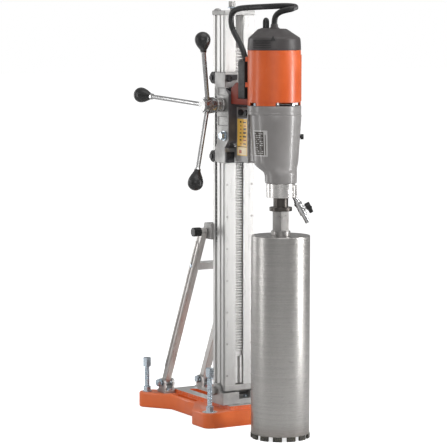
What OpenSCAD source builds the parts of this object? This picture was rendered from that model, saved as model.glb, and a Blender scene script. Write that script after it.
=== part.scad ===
// Core drill rig: base, tilting column with rack, rear struts, geared carriage, wet drill motor and core bit.
// Millimetres. +Z up, -Y is the drilling side (f = forward = -Y), the feed crank is on -X.
// Origin: on the base's underside, straight under the column.

/* [Base] */
// Width over the four feet
base_w = 208; // [190:1:250]
// Reach of the base in front of the column
base_front = 60; // [52:1:80]
// Reach of the base behind the column
base_rear = 282; // [270:1:340]
// Width of the waist between the feet
waist_w = 116; // [112:1:150]
// Height of the casting at the feet
base_h = 36; // [30:1:45]
// Height of the machined pad above the feet
pad_rise = 9; // [5:1:14]
// Radius of each foot's corner
foot_r = 19; // [16:1:24]
// Width of the anchor slot
slot_w = 20; // [14:1:24]

/* [Column] */
// Width of the column profile
col_w = 76; // [70:1:100]
// Depth of the aluminium profile
col_d = 52; // [46:1:70]
// Height of the column's top end
col_top = 933; // [780:1:1200]
// Thickness of the steel guide strips
strip_t = 3; // [2:0.5:5]
// Height of the column's tilting axis
pivot_z = 75; // [72:1:90]

/* [Struts] */
// Distance from the column's tilting axis back to the strut feet
strut_foot_back = 231; // [215:1:245]
// Height of the strut feet's axis
strut_foot_z = 60; // [58:1:70]
// Height of the struts' upper axis
strut_top_z = 438; // [360:1:480]
// Thickness of a strut leg
leg_t = 15; // [10:1:20]
// Width of a strut leg
leg_w = 18; // [14:1:24]

/* [Feed] */
// Height of the feed pinion's axis
crank_z = 732; // [690:1:780]
// Number of teeth on the feed pinion
pinion_teeth = 16; // [14:1:20]
// Module of the rack and pinion
rack_m = 2; // [1.5:0.5:2.5]
// Height of the carriage
carriage_h = 204; // [186:1:240]
// Reach of a crank arm to the middle of its knob
arm_reach = 176; // [140:1:220]
// Diameter of a crank knob
knob_d = 34.5; // [28:0.5:45]

/* [Drill motor] */
// Diameter of the motor housing
motor_d = 117; // [108:1:142]
// Height of the orange motor housing
motor_h = 121; // [100:1:145]
// Distance from the column's axis to the motor's axis
motor_f = 179; // [175:1:215]
// Distance the spindle stands in front of the motor's axis
spindle_step = 29; // [22:1:32]
// Diameter of the handle's tube
handle_d = 13.5; // [11:0.5:18]

/* [Core bit] */
// Diameter over the diamond segments
bit_d = 132; // [80:1:152]
// Length of the core bit
bit_l = 450; // [360:10:450]
// Wall of the core bit's tube
bit_wall = 3.5; // [2:0.5:5]
// Number of diamond segments
seg_n = 13; // [8:1:14]

/* [Hidden] */
$fn = 48;
run = 0.05;      // radial clearance of a running fit
gap = 0.3;       // clearance between moving faces
eps = 0.01;

// Colours
orange = [0.87, 0.38, 0.16];
cast_grey = [0.55, 0.54, 0.53];
alloy = [0.80, 0.80, 0.79];
steel = [0.62, 0.61, 0.60];
zinc = [0.72, 0.76, 0.80];
black = [0.12, 0.12, 0.12];
bright = [0.90, 0.90, 0.90];

// Moves forward (towards the drilling side) by f, and up by z
module at(x = 0, f = 0, z = 0) translate([x, -f, z]) children();
// A box from its limits along x, forward and up
module block(x0, x1, f0, f1, z0, z1) translate([x0, -f1, z0]) cube([x1 - x0, f1 - f0, z1 - z0]);
// A cylinder along X from x0 to x1
module rod_x(r, x0, x1, fn = 48) translate([x0, 0, 0]) rotate([0, 90, 0]) cylinder(r = r, h = x1 - x0, $fn = fn);
// Both sides of the rig
module both() { children(); mirror([1, 0, 0]) children(); }
// A plate across X from x0 to x1, its outline drawn in (forward, up)
module plate_x(x0, x1) translate([x0, 0, 0]) rotate([90, 0, 90]) mirror([1, 0, 0])
    linear_extrude(x1 - x0) children();

// ---------- gear teeth ----------
pa = 20;                              // pressure angle
back = 0.12;                          // how much thinner than half a pitch each tooth is
function inv_r(rb, t) = rb * sqrt(1 + pow(t, 2));
function inv_a(t) = t * 180 / PI - atan(t);
// Points of one involute tooth, its middle on the angle mid
function tooth(m, n, mid, steps = 4) = let(
    rp = m * n / 2, rb = rp * cos(pa), ra = rp + m, rr = rp - 1.25 * m,
    half = 90 / n - back / m / n * 57.3 + inv_a(tan(pa)),
    r0 = max(rb, rr), t0 = sqrt(max(0, pow(r0 / rb, 2) - 1)), t1 = sqrt(pow(ra / rb, 2) - 1),
    side = [for (i = [0:steps]) let(t = t0 + (t1 - t0) * i / steps) [inv_r(rb, t), half - inv_a(t)]],
    low = [rr, half + (rb > rr ? 2 : 0)])
    concat([polar(low[0], mid - low[1])], [for (p = side) polar(p[0], mid - p[1])],
        [for (i = [steps:-1:0]) polar(side[i][0], mid + side[i][1])], [polar(low[0], mid + low[1])]);
function polar(r, a) = [r * cos(a), r * sin(a)];
module gear_2d(m, n, turn = 0) polygon([for (k = [0:n - 1]) each tooth(m, n, turn + k * 360 / n)]);

// ---------- base ----------
foot_x = base_w / 2 - foot_r;         // middle of a foot, to the side
foot_f = base_front - foot_r;         // middle of a front foot, forward
foot_b = -(base_rear - foot_r);       // middle of a rear foot, forward
feet = [[-foot_x, foot_f], [foot_x, foot_f], [-foot_x, foot_b], [foot_x, foot_b]];
waist_f = -82;                        // where the waist begins behind the front feet
waist_b = -(base_rear - 90);          // where it ends before the rear feet
front_flat = -8;                      // rear end of the front feet's straight side
pad_w = 72;
pad_z = base_h + pad_rise;            // height of the machined pad
pad_front = 50;
pad_back = -(base_rear - 54);
slot_f = [-(base_rear - 88), -72];    // rear and front end of the anchor slot
stud_r = 6;                           // levelling screw
pad_r = 9;                            // swivel pad
pad_t = 5;
pad_low = 0.6;                        // the pads hang this far above the floor when drawn up
well_h = pad_low + pad_t + 1.4;

// Tangent point on the rear foot's circle, seen from the end of the waist
tan_v = [waist_w / 2 - foot_x, waist_b - foot_b];
tan_a = atan2(tan_v[1], tan_v[0]) - acos(foot_r / norm(tan_v));
rear_side = [foot_x + foot_r * cos(tan_a), foot_b + foot_r * sin(tan_a)];

module base_outline() {
    half = [[foot_x, base_front], [foot_x, foot_f], [base_w / 2, foot_f], [base_w / 2, front_flat],
        [waist_w / 2, waist_f], [waist_w / 2, waist_b], rear_side, [foot_x, foot_b],
        [foot_x, -base_rear], [foot_x - 26, -base_rear], [foot_x - 40, 22 - base_rear]];
    polygon([for (p = half) [p[0], -p[1]], for (i = [len(half) - 1:-1:0]) [-half[i][0], -half[i][1]]]);
    for (p = feet) translate([p[0], -p[1]]) circle(foot_r);
}
side_recess = [[waist_w / 2 - 7, waist_f - 4], [waist_w / 2 - 7, waist_b + 6],
    [pad_w / 2 + 3, waist_b + 6], [pad_w / 2 + 3, waist_f - 14]];
module base_plate() color(orange) difference() {
    union() {
        linear_extrude(base_h) base_outline();
        block(-pad_w / 2, pad_w / 2, pad_back, pad_front, base_h - 1, pad_z);
    }
    // anchor slot
    hull_slot(slot_w / 2, slot_f[0], slot_f[1], -1, pad_z + 1);
    // sunk panels beside the machined pad
    both() translate([0, 0, base_h - 10]) linear_extrude(20) polygon([for (p = side_recess) [p[0], -p[1]]]);
    // pockets under the casting
    both() block(slot_w / 2 + 8, waist_w / 2 - 8, waist_b + 8, waist_f - 6, -1, base_h - 18);
    for (p = feet) at(p[0], p[1]) {
        translate([0, 0, -1]) cylinder(r = stud_r + run, h = base_h + 2);
        translate([0, 0, -1]) cylinder(r = pad_r + 1.5, h = well_h + 1);
    }
    for (p = bracket_screws) at(p[0], p[1], pad_z - 24) cylinder(r = screw_r + run, h = 30, $fn = 24);
    for (p = lug_screws) at(p[0], p[1], base_h - 20) cylinder(r = screw_r + run, h = 30, $fn = 24);
}
// A slot along the forward direction, exact round ends
module hull_slot(r, f0, f1, z0, z1) {
    block(-r, r, f0 + r, f1 - r, z0, z1);
    at(0, f0 + r, z0) cylinder(r = r, h = z1 - z0);
    at(0, f1 - r, z0) cylinder(r = r, h = z1 - z0);
}

// ---------- column bracket ----------
screw_r = 4;
screw_head = 4.5;
ear_in = col_w / 2 + 1.2;             // inner face of an ear
ear_t = 7;
ear_out = ear_in + ear_t;
ear_r = 17;
pivot_r = 6;
yoke_h = 12;                          // thickness of the bracket's floor
yoke_b = -34;
yoke_f = 34;
bracket_screws = [for (x = [-26, 26], f = [-26, 14.5]) [x, f]];
module column_bracket() color(alloy) difference() {
    union() {
        block(-ear_out, ear_out, yoke_b, yoke_f, pad_z, pad_z + yoke_h);
        both() plate_x(ear_in, ear_out) ear_2d();
        block(-ear_out, -3, 22, yoke_f, pad_z + yoke_h - 1, pivot_z - 2);
        block(26, ear_out, 22, yoke_f, pad_z + yoke_h - 1, pivot_z - 2);
    }
    at(0, 0, pivot_z) rod_x(pivot_r + run, -ear_out - 1, ear_out + 1);
    for (p = bracket_screws) at(p[0], p[1], pad_z - 1) cylinder(r = screw_r + run, h = yoke_h + 2, $fn = 24);
}
// An ear: round at the pivot, swept out to the foot in front and behind
module ear_2d() difference() {
    union() {
        translate([0, pivot_z]) circle(ear_r);
        translate([yoke_b, pad_z]) square([yoke_f - yoke_b, pivot_z - pad_z]);
    }
    translate([ear_r + 17, pivot_z + 8]) circle(17);
    translate([-ear_r - 17, pivot_z + 4]) circle(17);
}
module pivot_bolt() color(steel) at(0, 0, pivot_z) {
    rod_x(pivot_r, -ear_out - 1, ear_out + 12);
    rod_x(10, -ear_out - 8, -ear_out - 0.02, 6);
    rod_x(10, ear_out + 0.02, ear_out + 9, 6);
}
module base_screws() color(zinc) {
    for (p = bracket_screws) at(p[0], p[1]) socket_screw(pad_z + yoke_h, 20);
    for (p = lug_screws) at(p[0], p[1]) socket_screw(base_h + lug_floor, 18);
}
// A socket-head screw that stands on the height z and reaches the depth d below it
module socket_screw(z, d) difference() {
    union() {
        translate([0, 0, z - d]) cylinder(r = screw_r, h = d + 1, $fn = 24);
        translate([0, 0, z]) cylinder(r = screw_r + 2.5, h = screw_head, $fn = 32);
    }
    translate([0, 0, z + screw_head - 3]) cylinder(r = 3.4, h = 5, $fn = 6);
}

// ---------- strut lugs ----------
leg_in = col_w / 2 + 6;               // inner face of a leg
leg_out = leg_in + leg_t;
lug_gap = 0.5;
lug_t = 6;
lug_floor = 7;
lug_r = 10;
strut_bolt_r = 5;
slot_play = 1;                        // radial play of the strut bolts in the lugs
slot_run = [-0.3, 8.2];               // how far the strut bolts travel in the lugs
lug_in = leg_in - lug_gap - lug_t;
lug_out = leg_out + lug_gap + lug_t;
lug_b = -strut_foot_back - 17;
lug_f = -strut_foot_back + 21;
lug_screws = [for (s = [-1, 1], f = [lug_b + 5, lug_f - 5]) [s * (leg_in + leg_t / 2), f]];
module strut_lugs() color(alloy) both() difference() {
    union() {
        block(lug_in, lug_out, lug_b, lug_f, base_h, base_h + lug_floor);
        plate_x(lug_in, lug_in + lug_t) lug_2d();
        plate_x(lug_out - lug_t, lug_out) lug_2d();
    }
    for (p = lug_screws) at(abs(p[0]), p[1], base_h - 1)
        cylinder(r = screw_r + run, h = lug_floor + 2, $fn = 24);
}
module lug_2d() difference() {
    hull_2d(lug_r);
    translate([0, strut_foot_z]) {
        for (f = slot_run) translate([-strut_foot_back + f, 0]) circle(strut_bolt_r + slot_play);
        translate([-strut_foot_back + slot_run[0], -strut_bolt_r - slot_play])
            square([slot_run[1] - slot_run[0], 2 * (strut_bolt_r + slot_play)]);
    }
}
module hull_2d(r) {
    for (f = slot_run) translate([-strut_foot_back + f, strut_foot_z]) circle(r);
    rise = strut_foot_z - base_h;
    play = slot_run[1] - slot_run[0];
    translate([-strut_foot_back + slot_run[0] - r, base_h]) square([play + 2 * r, rise]);
    translate([-strut_foot_back + slot_run[0], base_h]) square([play, rise + r]);
}

// ---------- levelling screws ----------
nut_h = 12;
head_h = 21;
front_head_z = 116;
rear_head_z = 97;
tip_r = 4;
tip_z = pad_low + 2;
module lock_nuts() color(zinc) for (p = feet) at(p[0], p[1], base_h) difference() {
    union() {
        cylinder(r = 9.8, h = nut_h, $fn = 6);
        cylinder(r = 11, h = 1.6);
    }
    translate([0, 0, -1]) cylinder(r = stud_r + run, h = nut_h + 2);
}
module level_screw(i) color(zinc) at(feet[i][0], feet[i][1]) {
    top = i < 2 ? front_head_z : rear_head_z;
    translate([0, 0, tip_z + run]) cylinder(r = tip_r, h = pad_t + 1);
    translate([0, 0, pad_low + pad_t + 0.2]) cylinder(r = stud_r, h = top - pad_low - pad_t);
    translate([0, 0, top]) cylinder(r = 10.4, h = head_h, $fn = 6);
}
module level_pad(i) color(steel) at(feet[i][0], feet[i][1], pad_low) difference() {
    cylinder(r = pad_r, h = pad_t);
    translate([0, 0, tip_z - pad_low]) cylinder(r = tip_r + run, h = pad_t);
}

// ---------- column ----------
foot_plate_t = 14;                    // thickness of the block under the profile
col_z0 = pivot_z + 1;                 // underside of that block
prof_z0 = col_z0 + foot_plate_t;
hw = col_w / 2;
hd = col_d / 2;
chan_w = 20;                          // rack channel
chan_d = 12;
groove_f = [-17, -7];                 // roller groove, forward limits
groove_d = 4;
slot_t = [6, 10, 3, 7];               // rear T-slot: half mouth, half width, lip, depth
face_f = hd + strip_t;                // front of the guide strips
screw_pitch = 73;
screw_z0 = prof_z0 + 22;
screw_n = floor((col_top - 20 - screw_z0) / screw_pitch);
strip_screw_x = 32.4 - 38 + hw;
module column_2d() difference() {
    square([col_w, col_d], center = true);
    for (s = [-1, 1]) {
        fsquare(s * (hw - groove_d), s * (hw + 1), groove_f[0], groove_f[1]);
        fsquare(s * (hw - 3), s * (hw + 1), 5, 11.6);
        fsquare(s * (hw - 5), s * (hw + 1), hd - 4.2, hd + 1);
        fsquare(s * 4, s * (hw - groove_d - 4), -hd + 12, hd - chan_d - 4);
        fsquare(s * (chan_w / 2 + 4), s * (hw - 9), hd - chan_d - 4 - eps, hd - 6);
    }
    fsquare(-chan_w / 2, chan_w / 2, hd - chan_d, hd + 1);
    fsquare(-slot_t[0], slot_t[0], -hd - 1, -hd + slot_t[2] + eps);
    fsquare(-slot_t[1], slot_t[1], -hd + slot_t[2], -hd + slot_t[3]);
}
module fsquare(x0, x1, f0, f1) translate([min(x0, x1), -f1]) square([abs(x1 - x0), f1 - f0]);
module column_profile() color(alloy) difference() {
    translate([0, 0, prof_z0]) linear_extrude(col_top - prof_z0) column_2d();
    at(0, jack_f, col_top - 42) cylinder(r = jack_r + 0.6, h = 50, $fn = 32);
    strip_holes(1.6 + run, hd - 5, hd + 1);
}
module strip_holes(r, f0, f1) both() for (k = [0:screw_n - 1])
    at(strip_screw_x, f0, screw_z0 + k * screw_pitch) rotate([90, 0, 0])
        cylinder(r = r, h = f1 - f0, $fn = 20);
module guide_strips() color(bright) difference() {
    both() block(chan_w / 2, hw, hd, face_f, prof_z0, col_top);
    strip_holes(1.6 + run, hd - 1, face_f + 1);
    strip_holes(2.8 + run, face_f - 1.8, face_f + 1);
}
module guide_screws() color(steel) {
    strip_holes(1.6, hd - 4.5, face_f - 1);
    strip_holes(2.8, face_f - 1.8 + 0.02, face_f - 0.2);
}
module column_foot_block() color(alloy) difference() {
    union() {
        block(-hw, hw, -hd, face_f, col_z0, prof_z0);
        at(0, 0, pivot_z) rod_x(14, -hw, hw);
    }
    at(0, 0, pivot_z) rod_x(pivot_r + run, -hw - 1, hw + 1);
}
scale_z = [416, 750];
module depth_scale() color(black)
    block(-(hw - groove_d) - 1, -(hw - groove_d), groove_f[0] + 0.5, groove_f[1] - 0.5,
        scale_z[0], scale_z[1]);

// Rack: its teeth face forward, with a gap opposite the pinion's tooth at rest
rack_z = [154, 859 - 933 + col_top];
rack_pitch = PI * rack_m;
rack_back = hd - chan_d;
pitch_f = face_f - 4.5;               // pitch line
tooth_low = floor((crank_z - rack_z[0]) / rack_pitch) - 1;
tooth_high = floor((rack_z[1] - crank_z) / rack_pitch) - 1;
function rack_tooth(z) = let(hp = rack_pitch / 4 - back / 2, t = tan(pa)) [
    [pitch_f - 1.25 * rack_m, z - hp - 1.25 * rack_m * t], [pitch_f + rack_m, z - hp + rack_m * t],
    [pitch_f + rack_m, z + hp - rack_m * t], [pitch_f - 1.25 * rack_m, z + hp + 1.25 * rack_m * t]];
rack_end_z = prof_z0 + 3;             // lower end of the plain bars under the teeth
rack_slot = 7;                        // slot between those bars
module rack() color(steel) {
    plate_x(-chan_w / 2 + 1, chan_w / 2 - 1)
        polygon(concat([[rack_back, rack_z[0]], [pitch_f - 1.25 * rack_m, rack_z[0]]],
            [for (k = [-tooth_low:tooth_high]) each rack_tooth(crank_z + (k + 0.5) * rack_pitch)],
            [[pitch_f - 1.25 * rack_m, rack_z[1]], [rack_back, rack_z[1]]]));
    both() block(rack_slot / 2, chan_w / 2 - 1, rack_back, hd, rack_end_z, rack_z[0] + 2);
}

// Cap and ceiling jack
cap_h = 10.5;
jack_f = -5;
jack_r = 5;
jack_head_z = 8;                      // underside of the jack's head above the cap
module column_cap() color(alloy) difference() {
    union() {
        block(-hw - 1.5, hw + 1.5, -hd - 1.5, face_f + 1, col_top, col_top + cap_h);
        both() at(hw - 5, -14, col_top + cap_h) intersection() {
            translate([0, 0, -6]) sphere(r = 11);
            cylinder(r = 8, h = 8);
        }
    }
    at(0, jack_f, col_top - 1) cylinder(r = jack_r + run, h = cap_h + 2);
}
module jack_screw() color(steel) at(0, jack_f, col_top + cap_h) {
    translate([0, 0, -cap_h - 38]) cylinder(r = jack_r, h = cap_h + 38 + jack_head_z + 1);
    translate([0, 0, jack_head_z]) cylinder(r = 9, h = 13, $fn = 6);
}
module jack_washer() color(zinc) at(0, jack_f, col_top + cap_h + jack_head_z - 2.5 - run) difference() {
    cylinder(r = 10, h = 2.5);
    translate([0, 0, -1]) cylinder(r = jack_r + run, h = 5);
}

// ---------- struts ----------
top_f = -(hd + 23);                   // forward place of the struts' upper axis
leg_run = [top_f + strut_foot_back, strut_top_z - strut_foot_z];
leg_l = norm(leg_run);
leg_a = atan2(leg_run[0], leg_run[1]);
clamp_b = top_f - 16;
module strut_clamp_block() color(cast_grey) difference() {
    union() {
        block(-leg_in + gap + 0.7, leg_in - gap - 0.7, clamp_b + 5, -hd - gap,
            strut_top_z - 17, strut_top_z + 20);
        at(0, top_f, strut_top_z) rod_x(16, -leg_in + gap + 0.7, leg_in - gap - 0.7);
        block(-slot_t[0] + gap, slot_t[0] - gap, -hd - 1, -hd + slot_t[2] + 1,
            strut_top_z - 17, strut_top_z + 20);
        block(-slot_t[1] + gap, slot_t[1] - gap, -hd + slot_t[2] + gap, -hd + slot_t[3] - gap,
            strut_top_z - 17, strut_top_z + 20);
    }
    at(0, top_f, strut_top_z) rod_x(strut_bolt_r + run, -leg_in - 2, leg_in + 2);
}
grip_l = 19;
module clamp_knob() color(black) at(0, top_f, strut_top_z) {
    rod_x(strut_bolt_r, -leg_out - 6, leg_out + 4);
    rod_x(8.5, leg_out + gap, leg_out + 8, 6);
    translate([-leg_out - gap - grip_l, 0, 0]) rotate([0, 90, 0]) linear_extrude(grip_l) difference() {
        circle(10.5);
        for (k = [0:7]) rotate(k * 45) translate([12.2, 0]) circle(2.6, $fn = 24);
    }
}
// A leg in its own frame: foot axis at the origin, running up Z
module leg_bar() difference() {
    union() {
        rod_x(leg_w / 2, 0, leg_t);
        translate([0, -leg_w / 2, 0]) cube([leg_t, leg_w, leg_l]);
        translate([0, 0, leg_l]) rod_x(leg_w / 2, 0, leg_t);
    }
    translate([leg_t - 2, -leg_w / 6, 14]) cube([3, leg_w / 3, leg_l - 28]);
    for (z = [0, leg_l]) translate([0, 0, z]) rod_x(strut_bolt_r + run, -1, leg_t + 1);
    translate([0, 0, brace_at]) rod_x(2.5 + run, -1, leg_t + 1, 20);
}
module strut_frame() at(0, -strut_foot_back, strut_foot_z) rotate([leg_a, 0, 0]) children();
module strut_leg_left() color(steel) strut_frame() mirror([1, 0, 0]) translate([leg_in, 0, 0]) leg_bar();
module strut_leg_right() color(steel) strut_frame() translate([leg_in, 0, 0]) leg_bar();
brace_at = 0.78 * leg_l;
module strut_cross_brace() color(alloy) strut_frame() difference() {
    translate([-leg_in, -4, brace_at - 10]) cube([2 * leg_in, 8, 20]);
    both() translate([0, 0, brace_at]) rod_x(2.5 + run, leg_in - 9, leg_in + 1, 20);
}
module strut_bolts() color(zinc) both() {
    at(0, -strut_foot_back, strut_foot_z) {
        rod_x(strut_bolt_r, lug_in - gap - 1, lug_out + 11);
        rod_x(8.6, lug_in - gap - 6, lug_in - gap, 6);
        rod_x(10, lug_out + gap, lug_out + gap + 1.8);
        rod_x(8.6, lug_out + gap + 1.8, lug_out + gap + 9.5, 6);
    }
    strut_frame() translate([0, 0, brace_at]) {
        rod_x(2.5, leg_in - 8, leg_out + 1, 20);
        rod_x(4.2, leg_out + 0.02, leg_out + 3, 24);
    }
}

// ---------- carriage ----------
car_z0 = crank_z - 131;               // lower end of the carriage
car_z1 = car_z0 + carriage_h;
cheek_in = hw + 1.5;
cheek_out = hw + 12;
crank_f = pitch_f + rack_m * pinion_teeth / 2;
end_h = 34;                           // height of each end block
end_b = 3;
end_f = face_f + 20;
plate_f = [crank_f + rack_m * (pinion_teeth / 2 + 1) + 1.5, face_f + 37];
shaft_r = 8;
lock_at = [plate_f[0] - 13, car_z0 + 62];
lock_r = 5;
module cheek_2d() polygon([[end_b, car_z0], [end_f, car_z0], [end_f, car_z0 + end_h],
    [plate_f[1], car_z0 + end_h + 18],
    [plate_f[1], car_z1 - end_h - 14], [end_f, car_z1 - end_h], [end_f, car_z1], [end_b, car_z1],
    [end_b, car_z1 - end_h], [end_b + 9, car_z1 - end_h - 8],
    [end_b + 9, car_z0 + end_h + 8], [end_b, car_z0 + end_h]]);
module carriage_frame() color(alloy) difference() {
    plate_x(-cheek_out, cheek_out) cheek_2d();
    block(-cheek_in, cheek_in, -hd, face_f + 2, car_z0 - 1, car_z1 + 1);
    block(-cheek_in, cheek_in, face_f, plate_f[0], car_z0 + end_h, car_z1 - end_h);
    at(0, crank_f, crank_z) rod_x(shaft_r + run, -cheek_out - 1, cheek_out + 1);
    at(0, lock_at[0], lock_at[1]) rod_x(lock_r + run, -cheek_out - 1, -cheek_in + 1);
    // sunk panels in the cheeks
    both() {
        block(cheek_out - 2, cheek_out + 1, end_b + 14, plate_f[1] - 8, crank_z - 46, crank_z - 26);
        block(cheek_out - 2, cheek_out + 1, end_b + 14, plate_f[1] - 14, crank_z + 22, crank_z + 38);
    }
}
roller_f = (groove_f[0] + groove_f[1]) / 2;
roller_z = [car_z0 + 13, car_z1 - 13];
roller_r = 13.5;
rim_r = (groove_f[1] - groove_f[0]) / 2 - 0.08;
axle_r = 3;
strap_in = cheek_out - 2.7;
// Lower and upper front block: its inner side, and its low and high edge from the roller
front_block = [[28, -12, 12], [20, -4, 8]];
module roller_mounts() color(black) both() for (k = [0, 1])
    let(z = roller_z[k], b = front_block[k]) difference() {
    union() {
        block(strap_in, cheek_out, roller_f - 6, end_b, z - 6, z + 6);
        at(0, roller_f, z) rod_x(axle_r, hw - groove_d + 1.8, strap_in + 1, 32);
        at(0, roller_f, z) rod_x(7, cheek_out, cheek_out + 2.5, 6);
        block(b[0], cheek_out - 1, end_f, end_f + 5, z + b[1], z + b[2]);
        at(cheek_out - 10, end_f, z) rotate([90, 0, 0]) cylinder(r = 8, h = 7);
    }
    at(cheek_out - 10, end_f + 5, z) rotate([90, 0, 0]) cylinder(r = 4, h = 3, $fn = 6);
}
module guide_rollers(z) color(black) both() at(0, roller_f, z) difference() {
    union() {
        rod_x(roller_r, hw + 3, strap_in - gap);
        rod_x(rim_r, hw - groove_d + 1.6, hw + 3.5);
    }
    rod_x(axle_r + run, hw - groove_d, strap_in + 1);
}

// Feed pinion on its shaft, the crank hub with three arms and their knobs
pinion_w = 17;
hub_x = [-cheek_out - 23, -cheek_out - 55];
hub_mid = (hub_x[0] + hub_x[1]) / 2;
hub_r = 18;
arm_r = 5;
arm_out = 22;                         // how far the arms lean outwards, in degrees
arm_turns = [36, 156, 276];           // from straight up, turning forward
module crank_frame() at(0, crank_f, crank_z) children();
module feed_pinion_shaft() color(steel) crank_frame() {
    translate([-pinion_w / 2, 0, 0]) rotate([0, 90, 0]) linear_extrude(pinion_w)
        gear_2d(rack_m, pinion_teeth, 90);
    rod_x(shaft_r, hub_x[0] + 1, cheek_out + 4);
    rod_x(13, hub_x[0], -cheek_out - gap);
    rod_x(12, cheek_out + gap, cheek_out + 3);
}
module crank_hub() color(bright) crank_frame() difference() {
    union() {
        rod_x(hub_r - 3, hub_x[1], hub_x[0] - 0.02);
        rod_x(hub_r, hub_mid - 13, hub_mid + 13);
    }
    for (a = arm_turns) arm_place(a) translate([0, 0, 12]) cylinder(r = arm_r + 0.02, h = 20, $fn = 32);
}
module arm_place(a) translate([hub_mid, 0, 0]) rotate([a, 0, 0]) rotate([0, -arm_out, 0]) children();
knob_at = arm_reach / cos(arm_out);
knob_l = 49 / 36 * knob_d;
module crank_arms() color(steel) crank_frame() for (a = arm_turns) arm_place(a)
    translate([0, 0, 12.02]) cylinder(r = arm_r, h = knob_at - knob_l / 2 + 8 - 12, $fn = 32);
module crank_knobs() color(black) crank_frame() for (a = arm_turns) arm_place(a)
    translate([0, 0, knob_at]) difference() {
        rotate_extrude() knob_half();
        translate([0, 0, -knob_l / 2 - 1]) cylinder(r = arm_r + 0.02, h = 9 + 0.02, $fn = 32);
    }
// Half outline of a drop-shaped knob: narrow at the arm, round at the outer end
module knob_half() intersection() {
    polygon(concat([[0, -knob_l / 2], [0.24 * knob_d, -knob_l / 2]],
        [for (i = [1:8]) [knob_d / 2 * sin(28.7 + i * 61.3 / 8), -knob_l / 2 + i * (knob_l * 0.62) / 8]],
        [for (i = [1:8]) [knob_d / 2 * cos(i * 11.25), 0.12 * knob_l + 0.38 * knob_l * sin(i * 11.25)]]));
    translate([0, -knob_l]) square([knob_d, 2 * knob_l]);
}
module carriage_lock() color(zinc) at(0, lock_at[0], lock_at[1]) {
    rod_x(lock_r, -cheek_out - 1, -cheek_in - 1);
    rod_x(11, -cheek_out - 2.5, -cheek_out - gap);
    rod_x(9, -cheek_out - 11, -cheek_out - 2.4, 6);
}

// ---------- adapter between carriage and drill ----------
ad_f = [plate_f[1], motor_f - motor_d / 2 - 3];
ad_w = 60;
ad_z = [car_z0 + 4, crank_z - 4];
module adapter_plate() color(cast_grey) difference() {
    block(-ad_w / 2, ad_w / 2, ad_f[0], ad_f[1], ad_z[0], ad_z[1]);
    both() block(ad_w / 2 - 6, ad_w / 2 + 1, ad_f[0] + 5, ad_f[1] - 5, ad_z[1] - 22, ad_z[1] + 1);
}
ad_bolt_r = 6.5;
// How far the bolts stand in from the adapter's ends, with 1 mm at least between their heads
ad_bolt_in = min(14, (ad_f[1] - ad_f[0] - 2 * ad_bolt_r - 1) / 2);
module adapter_bolts() color(black) both() for (f = [ad_f[0] + ad_bolt_in, ad_f[1] - ad_bolt_in])
    at(ad_w / 2 - 6, f, ad_z[1] - 12) rod_x(ad_bolt_r, 0, 6.5, 24);
label_t = 0.6;
plate_turn = [51, 94];                // rating plate, from straight ahead towards the crank side
plate_z = [crank_z - 107, crank_z - 50];
module label_plates() {
    color([0.94, 0.75, 0.31])
        block(-ad_w / 2 - label_t, -ad_w / 2, ad_f[0] + 5, ad_f[1] - 4, ad_z[0] + 15, ad_z[1] - 26);
    color(black) at(0, box_f) rotate([0, 0, 270 - plate_turn[1]])
        rotate_extrude(angle = plate_turn[1] - plate_turn[0])
            polygon([for (q = [[0, 0.08], [0, label_t], [1, label_t], [1, 0.08]])
                [box_at(plate_z[q[0]]) + q[1], plate_z[q[0]]]]);
}

// ---------- drill motor ----------
motor_r = motor_d / 2;
motor_wall = 3.5;
motor_z0 = crank_z + 3;
motor_z1 = motor_z0 + motor_h;
cap_band = 28;
cap_top_h = 18.5;
saddle_w = 88;                        // the motor's saddle on the carriage
saddle_h = 48;
slot_turns = [[-52, 28], [76, 96], [-96, -76]];   // cooling slots, from straight ahead towards the crank side
slot_h = 7;
module motor_housing() color(orange) difference() {
    union() {
        at(0, motor_f, motor_z0) cylinder(r = motor_r, h = motor_h, $fn = 96);
        block(-saddle_w / 2, saddle_w / 2, plate_f[1], motor_f - 30, motor_z0, motor_z0 + saddle_h);
    }
    at(0, motor_f, motor_z0 - 1) cylinder(r = motor_r - motor_wall, h = motor_h + 2, $fn = 96);
    // room for the switch housing, and the saddle's sloping top
    block(sw_x[0] - 1, sw_x[1] + gap, sw_f[0] - gap, sw_f[1] + 40, sw_z[0] - gap, motor_z0 + saddle_h + 1);
    plate_x(-saddle_w / 2 - 1, saddle_w / 2 + 1) polygon([[plate_f[1] - 1, motor_z0 + saddle_h + 1],
        [plate_f[1] + 22, motor_z0 + saddle_h + 1], [plate_f[1] - 1, motor_z0 + saddle_h - 14]]);
    for (s = slot_turns) at(0, motor_f, motor_z0 - 1) rotate([0, 0, -90 - s[1]])
        rotate_extrude(angle = s[1] - s[0])
        translate([motor_r - motor_wall - 1, 0]) square([motor_wall + 2, slot_h + 1]);
}
module cap_form(r, grow) {
    at(0, motor_f, motor_z1) cylinder(r = r, h = cap_band, $fn = 96);
    hull() {
        at(0, motor_f, motor_z1 + cap_band - 1) cylinder(r = r, h = 1, $fn = 64);
        at(0, motor_f - 8, motor_z1 + cap_band + cap_top_h - 1 - grow) cylinder(r = r * 0.52, h = 1, $fn = 64);
    }
}
lead_x = -8;
lead_f = motor_f - 22;
lead_seat = motor_z1 + cap_band + cap_top_h + 1.5;
lead_r = 3.8;
lead_half = 6.4;                      // half the distance between the lead's two feet
lead_rise = 13;                       // straight part of each foot
module motor_cap() color([0.27, 0.25, 0.25]) difference() {
    union() {
        cap_form(motor_r, 0);
        translate([lead_x, 0, 0]) block(-6, 6, lead_f - 13, lead_f + 13, lead_seat - 6, lead_seat);
    }
    translate([0, 0, -0.1]) cap_form(motor_r - 3, 3);
    at(0, motor_f, motor_z1 + cap_band + 8) cylinder(r = handle_d / 2 - 2, h = 20, $fn = 24);
}
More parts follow.
